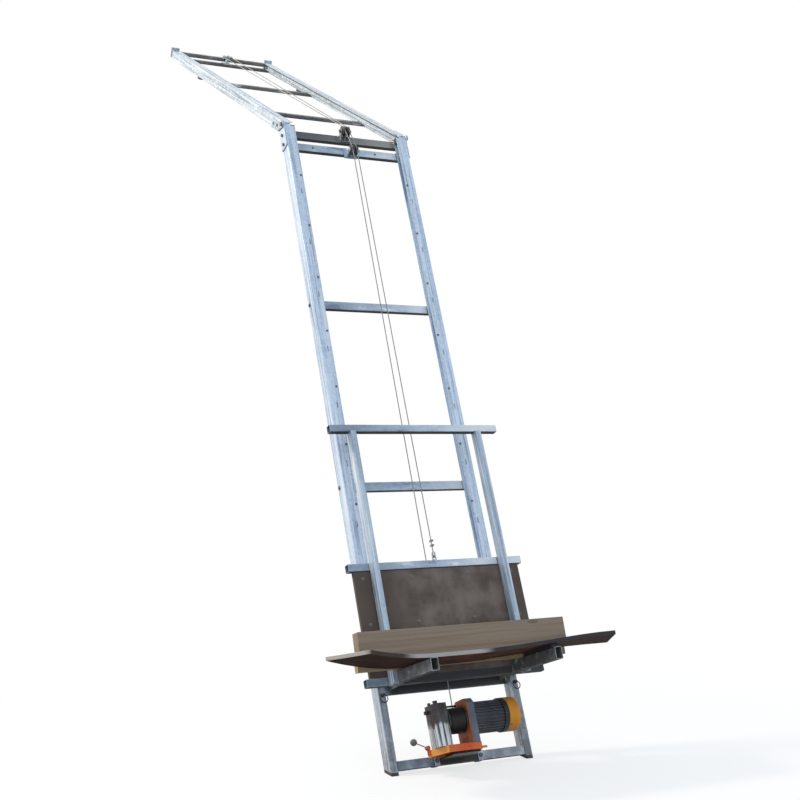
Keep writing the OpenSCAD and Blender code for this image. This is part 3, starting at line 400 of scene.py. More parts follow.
fall_end = (FALLING_X, ROPE_FRONT, FALL_FROM)
fall_rope = rope("falling_rope", "rope_fall", MAST, [fall_end, low_end[FALLING_X]])
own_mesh(fall_rope)
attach(fall_rope, "carriage")

wound = []
for i in range(DRUM_TURNS * TURN_POINTS + 1):
    back = i / TURN_POINTS - DRUM_TURNS
    angle = back * 2 * math.pi
    wound.append((DRUM_LEAVES_X + DRUM_STEP * back, DRUM_AXIS.x + DRUM_ROPE_R * math.cos(angle),
                  DRUM_AXIS.y + DRUM_ROPE_R * math.sin(angle)))
wound_rope = rope("wound_rope", "drum_rope", MAST, wound)
# The rope on the drum takes the darker copy: greased, and in painted shade.
wound_rope.data.materials[0] = greased_shaded_rope
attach(wound_rope, "drum")


# Ladder tubes: hot-dip galvanised steel, cut and welded before dipping. The zinc shows spangle cells,
# long run-off streaks, chalky patches, dirt towards the ground and rubbed edges. Painted highlights lie in
# rare bright streaks, on the edges and along the channel seams, and painted shade darkens the undersides
# and the right side.
FRESH_ZINC = (0.33, 0.43, 0.59, 1), (0.62, 0.72, 0.85, 1)
SOILED_SHADED_ZINC = (0.23, 0.265, 0.32, 1), (0.45, 0.50, 0.57, 1)
PLAIN_ZINC = (0.27, 0.345, 0.45, 1), (0.46, 0.545, 0.65, 1)
DULL_SHADED_ZINC = (0.105, 0.103, 0.104, 1), (0.225, 0.22, 0.22, 1)
ZINC_CHALK = (0.64, 0.69, 0.74, 1)
ZINC_RUBBED_AND_LIT = (0.78, 0.81, 0.84, 1)
ZINC_DECK_SHADOW = (0.026, 0.025, 0.023, 1)
ZINC_UNDERSIDE_SHADE = (0.012, 0.012, 0.013, 1)
ZINC_DEEP = (0.13, 0.175, 0.24, 1)
SITE_DIRT = (0.085, 0.070, 0.062, 1)
KNEE_TUBE_FROM = 3.71
KNEE_SHADE_DARK, KNEE_SHADE_PALE = (0.055, 0.052, 0.05, 1), (0.22, 0.19, 0.165, 1)
KNEE_SHADE_FADES = -0.30, 0.30
FINE_SPANGLE, COARSE_SPANGLE = 0.12, 0.34
SPLASHED_TO, DUSTY_TO, CLEAN_TO = 0.5, 0.3, 0.02
RIGHT_SHADE_SIDE = 0.1, 0.3
LIT_SIDE, SHADED_SIDE = (0.0, 0.36), (-0.40, 0.05)
DECK_SHADOW_LOW, DECK_SHADOW_TOP, DECK_SHADOW_SIDE = (0.2, 0.3), (0.49, 0.52), (-0.34, -0.30)
SEAM_X, SEAM_HALF = 0.360, 0.005
ALONG = 0.012, 0.012, 0.55
ACROSS = 0.16, 0.05, 0.05


def sideways(axes):
    """Distance from the middle plane."""
    return axes.math("ABSOLUTE", axes)


CHANNEL_SEAM_HIGHLIGHT = ZINC_RUBBED_AND_LIT, sideways, SEAM_X, SEAM_HALF


def in_frame(tree, place, lean, size=(1, 1, 1), origin=(0, 0, 0)):
    """Coordinates along a leaning frame's own axes, with the pattern drawn out to a size."""
    sockets = {"Vector": place, "Location": origin, "Rotation": (-lean, 0, 0), "Scale": size}
    return tree.add("ShaderNodeMapping", {"vector_type": "TEXTURE"}, sockets)


def warped(tree, place, pattern, scale, reach):
    """Coordinates that a soft noise over a pattern's coordinates pushes about, by up to a reach."""
    shift = tree.add("ShaderNodeTexNoise", sockets={"Vector": pattern, "Scale": scale}, out="Color")
    return tree.add("ShaderNodeVectorMath", {"operation": "MULTIPLY_ADD"}, {0: shift, 1: reach, 2: place})


def soft_edges(tree, radius):
    """The normal over rounded edges, and a mask of the edges themselves."""
    rounded = tree.add("ShaderNodeBevel", {"samples": 4}, {"Radius": radius})
    flat = tree.add("ShaderNodeNewGeometry", out="Normal")
    both = {0: rounded, 1: flat}
    same = tree.add("ShaderNodeVectorMath", {"operation": "DOT_PRODUCT"}, both, out="Value")
    return rounded, (1 - same).between(0.01, 0.16)


def bumped(tree, height, normal, strength, depth):
    sockets = {"Height": height, "Normal": normal, "Strength": strength, "Distance": depth}
    return tree.add("ShaderNodeBump", sockets=sockets)


def zinc(lean, spangle, dirty_to, run, dark, pale, seam=None, deck_and_knee_shade=False):
    """Galvanising between two tones, in streaks of the size run, with a painted line along a seam: a painted
    highlight on the mast's channels, painted shade in the head's channel mouths.

    With the last flag set, the rungs and bars get painted light on their right half and painted shade on
    their left, a painted shadow of the deck over the middle under it, and painted shade on the knee tube."""

    def build(tree, place):
        up = in_frame(tree, place, lean)
        cells = warped(tree, up, up, 45.0, (0.01, 0.01, 0.01))
        flakes = tree.add("ShaderNodeTexVoronoi", sockets={"Vector": cells, "Scale": 80.0}, out="Color")
        flake = tree.add("ShaderNodeSeparateColor", sockets={0: flakes})
        streak = mottle(tree, in_frame(tree, place, lean, run), 1.0, 4.0)
        patch = mottle(tree, up, 3.0, 2.0)
        grain = mottle(tree, up, 320.0, 2.0)
        axes = tree.add("ShaderNodeSeparateXYZ", sockets={0: up})
        height = axes.part("Z")
        rounded, edge = soft_edges(tree, 0.004)
        speckle = flake * spangle - spangle * 0.5
        light = (speckle + streak * 1.1 + patch * 0.3 + grain * 0.1).between(0.52, 0.92)
        chalk = mottle(tree, up, 8.0, 3.0).between(0.58, 0.76)
        # Dirt grows towards the ground, and the right side gets painted shade as extra dirt.
        low_dirt_and_right_shade = axes.between(*RIGHT_SHADE_SIDE) * 0.16 - height.between(0.0, dirty_to) * 0.6
        dirt = (mottle(tree, up, 22.0, 5.0) + low_dirt_and_right_shade).between(0.2, 0.75)
        facing = tree.add("ShaderNodeTexCoord", out="Normal")
        # Faces that turn downwards get painted shade: near black on the rungs, about half as dark on
        # lengthwise tubes.
        under = (0 - tree.add("ShaderNodeSeparateXYZ", sockets={0: facing}, out="Z")).between(0.25, 0.85)
        underside_shade_share = 0.95 if run == ACROSS else 0.45
        colour = tint(tree, light, dark, pale)
        colour = tint(tree, chalk * 0.25, colour, ZINC_CHALK)
        # Rare bright streaks: painted highlights.
        colour = tint(tree, streak.between(0.60, 0.67) * 0.75, colour, ZINC_RUBBED_AND_LIT)
        colour = tint(tree, (1 - streak.between(0.33, 0.40)) * 0.55, colour, ZINC_DEEP)
        # A painted line along the seam in the colour given: a painted highlight on the mast's channels,
        # painted shade in the head channels' mouths.
        if seam:
            line, distance, at, half = seam
            off = axes.math("ABSOLUTE", distance(axes) - at)
            colour = tint(tree, (1 - off.between(half * 0.4, half)) * 0.85, colour, line)
        if deck_and_knee_shade:
            # Painted light on the right half, painted shade on the left half, and the painted shadow of the
            # deck over the middle under it.
            colour = tint(tree, axes.between(*LIT_SIDE) * 0.7, colour, ZINC_RUBBED_AND_LIT)
            colour = tint(tree, (1 - axes.between(*SHADED_SIDE)) * 0.5, colour, ZINC_DEEP)
            low = (1 - height.between(*DECK_SHADOW_TOP)) * height.between(*DECK_SHADOW_LOW)
            deck_shadow = low * axes.between(*DECK_SHADOW_SIDE)
            colour = tint(tree, deck_shadow * 0.93, colour, ZINC_DECK_SHADOW)
            # Painted shade on the knee tube, darkest at its left.
            knee = height.between(KNEE_TUBE_FROM, KNEE_TUBE_FROM + 0.01)
            knee_shade_tone = tint(tree, axes.between(*KNEE_SHADE_FADES), KNEE_SHADE_DARK, KNEE_SHADE_PALE)
            colour = tint(tree, knee * 0.85, colour, knee_shade_tone)
        # Brighter edges: rubbed zinc with a painted highlight.
        colour = tint(tree, edge * 0.5, colour, ZINC_RUBBED_AND_LIT)
        # Painted shade on the undersides.
        colour = tint(tree, under * underside_shade_share, colour, ZINC_UNDERSIDE_SHADE)
        colour = tint(tree, dirt * 0.6, colour, SITE_DIRT)
        relief = grain * 0.4 + flake * (spangle * 0.6) + dirt * 0.6
        return {
            "Base Color": colour,
            "Metallic": 0.28 - chalk * 0.1 - dirt * 0.15 - under * 0.2,
            "Roughness": 0.46 - light * 0.1 + chalk * 0.2 + dirt * 0.25 + under * 0.35,
            "Normal": bumped(tree, relief, rounded, 0.2, 0.0006),
        }

    return build


def dress(material, *names):
    for name in names:
        nodes[name].data.materials.clear()
        nodes[name].data.materials.append(material)


stile_zinc = zinc(LEAN, FINE_SPANGLE, SPLASHED_TO, ALONG, *FRESH_ZINC, seam=CHANNEL_SEAM_HIGHLIGHT)
dress(finish("galvanised_stiles", stile_zinc), "mast_stiles", "mast_rails", "section_spigots",
      "knee_plates", "knee_block", "winch_clamps")
# The rungs and carriage bars get the painted light and shade of the deck and the knee.
rung_zinc = zinc(LEAN, FINE_SPANGLE, SPLASHED_TO, ACROSS, *PLAIN_ZINC, deck_and_knee_shade=True)
zinc_rungs = finish("galvanised_rungs", rung_zinc)
dress(zinc_rungs, "ladder_rungs")
# The foot stiles are darker than the mast's: soiled, and in painted shade.
foot_zinc = zinc(LEAN, FINE_SPANGLE, SPLASHED_TO, ALONG, *SOILED_SHADED_ZINC)
dress(finish("galvanised_foot", foot_zinc), "base_stiles")
# A dark, dull zinc: dull on the welds, and dark as painted shade on the load arms and head rungs.
dull_shaded_zinc = finish("galvanised_dull_shaded", zinc(LEAN, FINE_SPANGLE, DUSTY_TO, ACROSS, *DULL_SHADED_ZINC))
dress(dull_shaded_zinc, "upper_block")


# Weld beads: each rung end is run round with a bead, and the guide channels are stitched to the stiles
# every third of a metre. The beads were galvanised with the tubes and have stayed rough and dull.
WELD_SIDES = 6
LUMP_SIZE = 260.0
LUMP_HEIGHT = 0.003
SIDES = -1, 1
RUNGS_UP = 0.476, 1.503, 2.598, 3.665, 3.751
RUNG_WELD_X, RUNG_WELD_Y, RUNG_WELD_HALF = 0.3345, 0.0425, 0.022
STITCH_X, STITCH_Y, STITCH_HALF = 0.3602, 0.0012, 0.016
STITCHES_UP = [0.60 + 0.34 * i for i in range(9)]
FOOT_WELD_X = 0.3585
FOOT_WELDS = (0.044, 0.422, 0.022), (-0.001, 0.0465, 0.020)

weld_group, grow, given = geometry_tree("weld_beads", {"Radius": 0.0032, "Step": 0.003})
bead = swept(grow, resampled(grow, given), round_profile(grow, given, WELD_SIDES))
lump = mottle(grow, grow.add("GeometryNodeInputPosition"), LUMP_SIZE, 1.0) - 0.5
outward = grow.add("ShaderNodeVectorMath", {"operation": "SCALE"},
                   {0: grow.add("GeometryNodeInputNormal"), "Scale": lump * LUMP_HEIGHT})
rough = grow.add("GeometryNodeSetPosition", sockets={"Geometry": bead, "Offset": outward})
end_tree(grow, rough, dull_shaded_zinc)


def welds(name, body, turned, lines):
    """Weld beads along straight lines of the mast's or the head's frame."""
    piece = grown(name, routes(name, turned, lines), weld_group)
    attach(piece, body)


def upright_line(x, y, middle, half):
    return (x, y, middle - half), (x, y, middle + half)


ladder_lines = []
for side in SIDES:
    ladder_lines += [upright_line(side * RUNG_WELD_X, RUNG_WELD_Y, up, RUNG_WELD_HALF) for up in RUNGS_UP]
    ladder_lines += [upright_line(side * STITCH_X, STITCH_Y, up, STITCH_HALF) for up in STITCHES_UP]
    ladder_lines += [upright_line(side * FOOT_WELD_X, *weld) for weld in FOOT_WELDS]
welds("ladder_welds", "ladder", MAST, ladder_lines)


# Bolts and screws: hexagon and pan heads on washers, turned in after galvanising and darkened by rain.
# Screws hold the channels and covers, bolts the rungs, the winch's straps and its flange.
BOLT_TONES = (0.075, 0.078, 0.085, 1), (0.17, 0.17, 0.165, 1)
BOLT_RUST = (0.09, 0.045, 0.022, 1)
BOLT_RUBBED = (0.42, 0.42, 0.42, 1)
HEAD_TAPER = 0.88
WASHER_T = 0.0016
WASHER_SIDES = 16
HEX_HEAD = {"Radius": 0.008, "Height": 0.006, "Washer": 0.012, "Sides": 6}
PAN_HEAD = {"Radius": 0.0055, "Height": 0.0032, "Washer": 0.007, "Sides": 12}
SMALL_SCREW = {"Radius": 0.0035, "Height": 0.0025, "Washer": 0.0042, "Sides": 12}
GLAND_NUT = {"Radius": 0.0145, "Height": 0.009, "Washer": 0.0155, "Sides": 6}
FRONT, BACK, DOWN, LEFT, RIGHT = (0, -1, 0), (0, 1, 0), (0, 0, -1), (-1, 0, 0), (1, 0, 0)
SCREW_X = 0.3475
SCREW_ABOVE_STITCH = 0.11
PULLEY_RUNG_Y = 0.045
PULLEY_RUNG_SCREWS_X = -0.22, 0.19
STILE_FACE_X, STILE_MIDDLE_Y = 0.400, 0.060
STRAP_FACE, STRAP_UP = -0.0113, 0.0465
STRAPS_X = -0.150, 0.096
FLANGE_FACE = 0.010
FLANGE_BOLTS_Y, FLANGE_BOLTS_UP = (-0.050, 0.050), (0.104, 0.146)
BOX_BACK = -0.0047
BOX_X, BOX_Z = (0.056, 0.120), (0.188, 0.236)
COVER_X, COVER_R = 0.202, 0.084
GLAND_MOUTH = (0.088, -0.0277, 0.181)


def dark_plated(tree, place):
    rounded, edge = soft_edges(tree, 0.001)
    bloom = mottle(tree, place, 70.0)
    rust = mottle(tree, place, 160.0, 5.0).between(0.52, 0.70)
    colour = tint(tree, bloom, *BOLT_TONES)
    colour = tint(tree, rust * 0.5, colour, BOLT_RUST)
    colour = tint(tree, edge * 0.4, colour, BOLT_RUBBED)
    return {
        "Base Color": colour,
        "Metallic": 0.5 - rust * 0.3,
        "Roughness": bloom * 0.2 + rust * 0.25 + 0.3,
        "Normal": rounded,
    }


dark_steel = finish("dark_plated", dark_plated)
bolt_group, grow, given = geometry_tree("bolt_heads", HEX_HEAD)
cone = {"Vertices": given.part("Sides"), "Radius Top": given.part("Radius") * HEAD_TAPER,
        "Radius Bottom": given.part("Radius"), "Depth": given.part("Height")}
disc = {"Vertices": WASHER_SIDES, "Radius Top": given.part("Washer"), "Radius Bottom": given.part("Washer"),
        "Depth": WASHER_T}
joined = grow.add("GeometryNodeJoinGeometry")
for shape in (cone, disc):
    solid = grow.add("GeometryNodeMeshCone", sockets=shape)
    grow.tree.links.new(solid.socket, joined.socket.node.inputs[0])
facing = grow.add("GeometryNodeInputNamedAttribute", {"data_type": "FLOAT_VECTOR"}, {"Name": "facing"})
turned = grow.add("FunctionNodeAlignRotationToVector", {"axis": "Z"}, {"Vector": facing})
heads = grow.add("GeometryNodeInstanceOnPoints",
                 sockets={"Points": given, "Instance": joined, "Rotation": turned})
end_tree(grow, heads, dark_steel, smooth=False)


def bolts(name, body, spots, sizes=()):
    """Bolt heads at spots of the mast's frame, each with the way that it faces."""
    mesh = bpy.data.meshes.new(name)
    mesh.from_pydata([MAST @ Vector(spot) for spot, way in spots], [], [])
    ways = mesh.attributes.new("facing", "FLOAT_VECTOR", "POINT")
    for item, (spot, way) in zip(ways.data, spots):
        item.vector = MAST.to_3x3() @ Vector(way)
    piece = grown(name, mesh, bolt_group, sizes)
    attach(piece, body)


screws_up = [up + SCREW_ABOVE_STITCH for up in STITCHES_UP]
channel_screws = [((side * SCREW_X, 0, up), FRONT) for side in SIDES for up in screws_up]
channel_screws += [((x, PULLEY_RUNG_Y, RUNGS_UP[3]), FRONT) for x in PULLEY_RUNG_SCREWS_X]
bolts("channel_screws", "ladder", channel_screws, PAN_HEAD)
hex_bolts = []
for side in SIDES:
    hex_bolts += [((side * STILE_FACE_X, STILE_MIDDLE_Y, up), (side, 0, 0)) for up in RUNGS_UP[1:3]]
hex_bolts += [((x, STRAP_FACE, STRAP_UP), FRONT) for x in STRAPS_X]
for y in FLANGE_BOLTS_Y:
    hex_bolts += [((FLANGE_FACE, DRUM_AXIS.x + y, up), RIGHT) for up in FLANGE_BOLTS_UP]
bolts("ladder_hex_bolts", "ladder", hex_bolts)
small_screws = [((x, BOX_BACK, z), BACK) for x in BOX_X for z in BOX_Z]
for quarter in range(4):
    angle = math.pi * (quarter + 0.5) / 2
    way = (0, math.cos(angle), math.sin(angle))
    small_screws.append(((COVER_X, DRUM_AXIS.x + COVER_R * way[1], DRUM_AXIS.y + COVER_R * way[2]), way))
bolts("cover_screws", "ladder", small_screws, SMALL_SCREW)
bolts("gland_nut", "ladder", [(GLAND_MOUTH, DOWN)], GLAND_NUT)


# Feet, channel stops and caps, and head pads: black moulded rubber, pushed into the tubes or screwed on,
# greyed by dust on top and scuffed at the edges.
RUBBER_TONES = (0.022, 0.022, 0.024, 1), (0.05, 0.05, 0.052, 1)
RUBBER_DUST = (0.19, 0.18, 0.165, 1)


def worn_rubber(tree, place):
    rounded, edge = soft_edges(tree, 0.003)
    grain = mottle(tree, place, 420.0, 2.0)
    dust = mottle(tree, place, 30.0, 5.0).between(0.42, 0.75)
    colour = tint(tree, grain * 0.5, *RUBBER_TONES)
    colour = tint(tree, dust * 0.35 + edge * 0.25, colour, RUBBER_DUST)
    return {"Base Color": colour, "Roughness": dust * 0.15 + 0.7,
            "Normal": bumped(tree, grain, rounded, 0.4, 0.0005)}


dress(finish("black_rubber", worn_rubber), "feet", "rail_ends", "head_pads")


# Shafts, gears, shackle and end pulley: turned or forged steel with bright zinc plating, fine turning
# marks, a yellowish bloom and a little brown in the corners. The knee's pins and bolts are plated dark.
PLATED_TONES = (0.34, 0.36, 0.39, 1), (0.52, 0.52, 0.49, 1)
PLATED_RUST = (0.16, 0.085, 0.045, 1)
PLATED_RUBBED = (0.70, 0.70, 0.69, 1)


def plated(tree, place):
    rounded, edge = soft_edges(tree, 0.0015)
    turning = mottle(tree, in_frame(tree, place, LEAN, (0.0008, 0.02, 0.02)), 1.0, 2.0)
    bloom = mottle(tree, place, 55.0)
    rust = mottle(tree, place, 130.0, 5.0).between(0.60, 0.74)
    colour = tint(tree, bloom, *PLATED_TONES)
    colour = tint(tree, rust * 0.5, colour, PLATED_RUST)
    colour = tint(tree, edge * 0.35, colour, PLATED_RUBBED)
    return {
        "Base Color": colour,
        "Metallic": 0.85 - rust * 0.5,
        "Roughness": turning * 0.2 + 0.22 + rust * 0.3,
        "Normal": bumped(tree, turning, rounded, 0.15, 0.0003),
    }


dress(finish("bright_steel", plated), "counter_shaft", "cluster_gear", "rotor", "rope_shackle", "end_sheave")
dress(dark_steel, "knee_bolts")


# Pulleys, guide rollers, motor fan, terminal box and gearbox plugs: black nylon, cast or moulded, with
# grey dust on the sides. The pulleys and rollers turn on bolts and stub axles, the fan with the rotor.
NYLON_BLACK = (0.028, 0.029, 0.031, 1)
NYLON_DUST = (0.17, 0.17, 0.165, 1)


def nylon(tree, place):
    rounded, edge = soft_edges(tree, 0.0015)
    grain = mottle(tree, place, 260.0, 2.0)
    dust = mottle(tree, place, 60.0, 5.0).between(0.4, 0.75)
    colour = tint(tree, dust * 0.45 + edge * 0.3, NYLON_BLACK, NYLON_DUST)
    return {"Base Color": colour, "Roughness": grain * 0.2 + dust * 0.2 + 0.32,
            "Normal": bumped(tree, grain, rounded, 0.2, 0.0004)}


black_nylon = finish("black_nylon", nylon)
dress(black_nylon, "knee_sheave_rising", "knee_sheave_falling", "upper_sheave_rising",
      "upper_sheave_falling", "lower_rollers", "upper_rollers")
dress(black_nylon, "motor_fan", "terminal_box", "gearbox_plugs")


# Winch bracket, drum, tie rods, lock pins, bearing shield and limit lever: black or grey paint on folded
# plate, turned steel and cast iron, rubbed to metal at the edges, with dust lying on what faces up.
PAINT_BLACK = (0.012, 0.013, 0.013, 1), (0.034, 0.035, 0.036, 1)
PAINT_GREY = (0.07, 0.072, 0.076, 1), (0.14, 0.142, 0.146, 1)
BARE_METAL = (0.22, 0.22, 0.215, 1)
PAINT_DUST = (0.30, 0.26, 0.21, 1)


def painted(fresh, faded, under, gloss, chipped, sunlit_side=None):
    """Paint over metal: a faded body colour, chips at the edges that show what is under it, and dust.

    The colour given last is painted sunlight on the faces that turn to the left."""

    def build(tree, place):
        rounded, edge = soft_edges(tree, 0.0025)
        fading = mottle(tree, in_frame(tree, place, LEAN, (0.25, 0.25, 0.7)), 4.0)
        speck = mottle(tree, place, 150.0, 5.0)
        peel = mottle(tree, place, 900.0, 2.0)
        chips = (edge * 0.55 + speck).between(chipped, chipped + 0.05)
        facing = tree.add("ShaderNodeTexCoord", out="Normal")
        ways = tree.add("ShaderNodeSeparateXYZ", sockets={0: facing})
        upward = ways.part("Z").between(0.2, 0.95)
        dust = upward * mottle(tree, place, 34.0, 5.0).between(0.3, 0.75)
        smear = mottle(tree, in_frame(tree, place, LEAN, (0.03, 0.03, 0.25)), 1.0, 5.0).between(0.52, 0.78)
        colour = tint(tree, fading.between(0.3, 0.7), fresh, faded)
        if sunlit_side:
            # Painted sunlight on the faces that turn to the left.
            painted_sunlight = (0 - ways).between(0.55, 0.9) * (fading * 0.4 + 0.5)
            colour = tint(tree, painted_sunlight, colour, sunlit_side)
        colour = tint(tree, smear * 0.25, colour, SITE_DIRT)
        colour = tint(tree, chips, colour, under)
        colour = tint(tree, dust * 0.22, colour, PAINT_DUST)
        return {
            "Base Color": colour,
            "Metallic": chips * 0.5,
            "Specular IOR Level": 0.3,
            "Roughness": gloss + speck * 0.15 + dust * 0.3 + smear * 0.15,
            "Normal": bumped(tree, peel * 0.3 - chips, rounded, 0.3, 0.0005),
        }

    return build


black_paint = painted(*PAINT_BLACK, BARE_METAL, gloss=0.38, chipped=0.84)
dress(finish("black_paint", black_paint), "winch_bracket", "drum", "motor_shield", "tie_rods", "lock_pins")
lever_grey = painted(*PAINT_GREY, BARE_METAL, gloss=0.34, chipped=0.80)
dress(finish("lever_grey", lever_grey), "limit_lever")


# Winch tray and drum plate: folded sheet with orange-red paint, faded by the sun,
# scratched through to brown primer at the edges and dirty in the corners. The tray's left faces get painted
# sunlight, and the drum plate's paint is darker and browner as painted shade.
PRIMER = (0.09, 0.045, 0.028, 1)
ORANGE = (0.66, 0.080, 0.016, 1), (0.78, 0.165, 0.036, 1)
SUNLIT_ORANGE = (0.84, 0.44, 0.10, 1)
SHADED_ORANGE = (0.36, 0.085, 0.020, 1), (0.52, 0.155, 0.040, 1)

# The tray's left faces get painted sunlight.
orange_paint = painted(*ORANGE, PRIMER, gloss=0.38, chipped=0.80, sunlit_side=SUNLIT_ORANGE)
dress(finish("orange_paint", orange_paint), "winch_tray")
# The drum plate's paint is darker and browner: painted shade.
shaded_orange = painted(*SHADED_ORANGE, PRIMER, gloss=0.45, chipped=0.74)
dress(finish("shaded_orange", shaded_orange), "drum_plate")


# Gearbox: a cast aluminium housing and cover, left bare, with a fine cast grain, dark with oil and painted
# shade.
# Vertical streaks of painted highlight run up its lower part, and above them it stays in painted shade.
# A small oval plate is screwed to its side.
OILY_SHADED_ALLOY = (0.020, 0.018, 0.022, 1), (0.070, 0.066, 0.074, 1)
ALLOY_HIGHLIGHT = (0.84, 0.85, 0.87, 1)
ALLOY_RUBBED = (0.50, 0.51, 0.52, 1)
RED_BROWN = (0.060, 0.012, 0.009, 1), (0.115, 0.030, 0.020, 1)
LIT_STREAKS_UP, LIT_STREAKS_SPREAD = 0.155, 0.05
OVAL_MIDDLE = DRUM_AXIS + Vector((-0.020, 0.004))
OVAL_HALF, OVAL_R = 0.024, 0.0150
OVAL_X = -0.2050, -0.2068
OVAL_SCREWS = -0.029, 0.029


def cast_alloy(tree, place):
    up = in_frame(tree, place, LEAN)
    rounded, edge = soft_edges(tree, 0.003)
    height = tree.add("ShaderNodeSeparateXYZ", sockets={0: up}, out="Z")
    streak = mottle(tree, in_frame(tree, place, LEAN, (0.008, 0.008, 0.35)), 1.0, 4.0)
    # Painted highlights in vertical streaks, only below a wavy height; above it the body stays in painted
    # shade.
    runs = mottle(tree, up, 30.0, 3.0) * LIT_STREAKS_SPREAD + LIT_STREAKS_UP
    lit_streaks = streak.between(0.38, 0.54) * (1 - height.between(runs, runs + 0.03))
    grain = mottle(tree, up, 500.0, 3.0)
    oil = mottle(tree, up, 24.0, 5.0)
    # The dark body colour is oil and painted shade.
    colour = tint(tree, oil.between(0.3, 0.7), *OILY_SHADED_ALLOY)
    colour = tint(tree, lit_streaks * 0.95, colour, ALLOY_HIGHLIGHT)
    colour = tint(tree, edge * 0.35, colour, ALLOY_RUBBED)
    return {
        "Base Color": colour,
        "Metallic": 0.25 - lit_streaks * 0.15,
        "Roughness": grain * 0.2 + lit_streaks * 0.2 + 0.34,
        "Normal": bumped(tree, grain, rounded, 0.35, 0.0006),
    }


dress(finish("cast_alloy", cast_alloy), "gearbox_housing", "gearbox_cover")

oval_ring = []
for angle in steps(0, math.pi, 12):
    oval_ring.append((OVAL_R * math.cos(angle), OVAL_HALF + OVAL_R * math.sin(angle)))
oval_ring += [(-y, -z) for y, z in oval_ring]
oval_points = []
for x in OVAL_X:
    oval_points += [MAST @ Vector((x, OVAL_MIDDLE.x + y, OVAL_MIDDLE.y + z)) for y, z in oval_ring]
count = len(oval_ring)
oval_faces = [tuple(range(count)), tuple(range(2 * count - 1, count - 1, -1))]
oval_faces += [((i + 1) % count, i, count + i, count + (i + 1) % count) for i in range(count)]
oval_mesh = bpy.data.meshes.new("oval_plate")
oval_mesh.from_pydata(oval_points, [], oval_faces)
red_brown = painted(*RED_BROWN, PRIMER, gloss=0.4, chipped=0.82)
oval_mesh.materials.append(finish("red_brown_paint", red_brown))
oval_plate = placed("oval_plate", oval_mesh)
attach(oval_plate, "ladder")
oval_screws = [((OVAL_X[1], OVAL_MIDDLE.x, OVAL_MIDDLE.y + z), LEFT) for z in OVAL_SCREWS]
bolts("oval_screws", "ladder", oval_screws, SMALL_SCREW)


# Motor: a finned aluminium body and its flange in blue-grey paint, with a copper-wound core inside.
# Dust lies between the fins. The fan cover is pressed steel in amber paint.
BODY_GREY = (0.044, 0.048, 0.062, 1), (0.080, 0.086, 0.108, 1)
FLANGE_GREY = (0.105, 0.120, 0.160, 1), (0.165, 0.180, 0.220, 1)
AMBER = (0.70, 0.25, 0.014, 1), (0.80, 0.33, 0.030, 1)
COPPER = (0.16, 0.10, 0.07, 1), (0.45, 0.20, 0.09, 1)


def winding(tree, place):
    wires = mottle(tree, in_frame(tree, place, LEAN, (0.0015, 0.02, 0.02)), 1.0, 2.0)
    colour = tint(tree, wires.between(0.35, 0.65), *COPPER)
    return {"Base Color": colour, "Metallic": wires * 0.6, "Roughness": 0.45}


dress(finish("motor_grey", painted(*BODY_GREY, BARE_METAL, gloss=0.42, chipped=0.82)), "motor_body")
dress(finish("flange_grey", painted(*FLANGE_GREY, BARE_METAL, gloss=0.42, chipped=0.80)), "motor_flange")
dress(finish("amber_paint", painted(*AMBER, BARE_METAL, gloss=0.36, chipped=0.84)), "fan_cover")
dress(finish("core_iron", winding), "stator")


# Carriage frame: square and flat tubes, roller plates and arms, welded and then galvanised,
# with the same zinc as the mast. The rope clips are held by nuts.
BAR_FACE, BARS_UP = -0.1148, (0.434, 1.014)
BAR_WELDS_X, BAR_WELD_HALF = (0.3580, 0.3900), 0.017
ARM_WELD_X, ARM_WELD_UP, ARM_WELD_HALF = 0.3180, 0.436, 0.016
TOP_WELD_X, TOP_WELD_Y, TOP_WELD_UP = (0.361, 0.387), -0.1585, 1.7385
CLIP_NUT_OFF, CLIP_FACE, CLIPS_UP = 0.0045, -0.045, (1.135, 1.161)

dress(zinc_rungs, "carriage_top_bar", "carriage_cross_bars", "carriage_brackets")
upright_zinc = zinc(LEAN, FINE_SPANGLE, DUSTY_TO, ALONG, *PLAIN_ZINC)
dress(finish("galvanised_uprights", upright_zinc), "carriage_uprights")
# The load arms take the dark zinc as painted shade.
dress(dull_shaded_zinc, "load_arms")

carriage_lines = []
for side in SIDES:
    for x in BAR_WELDS_X:
        carriage_lines += [upright_line(side * x, BAR_FACE, up, BAR_WELD_HALF) for up in BARS_UP]
    carriage_lines.append(upright_line(side * ARM_WELD_X, BAR_FACE, ARM_WELD_UP, ARM_WELD_HALF))
    carriage_lines.append([(side * x, TOP_WELD_Y, TOP_WELD_UP) for x in TOP_WELD_X])
welds("carriage_welds", "carriage", MAST, carriage_lines)
clip_nuts = [((FALLING_X + side * CLIP_NUT_OFF, CLIP_FACE, up), FRONT) for side in SIDES for up in CLIPS_UP]
bolts("clip_nuts", "carriage", clip_nuts, SMALL_SCREW)


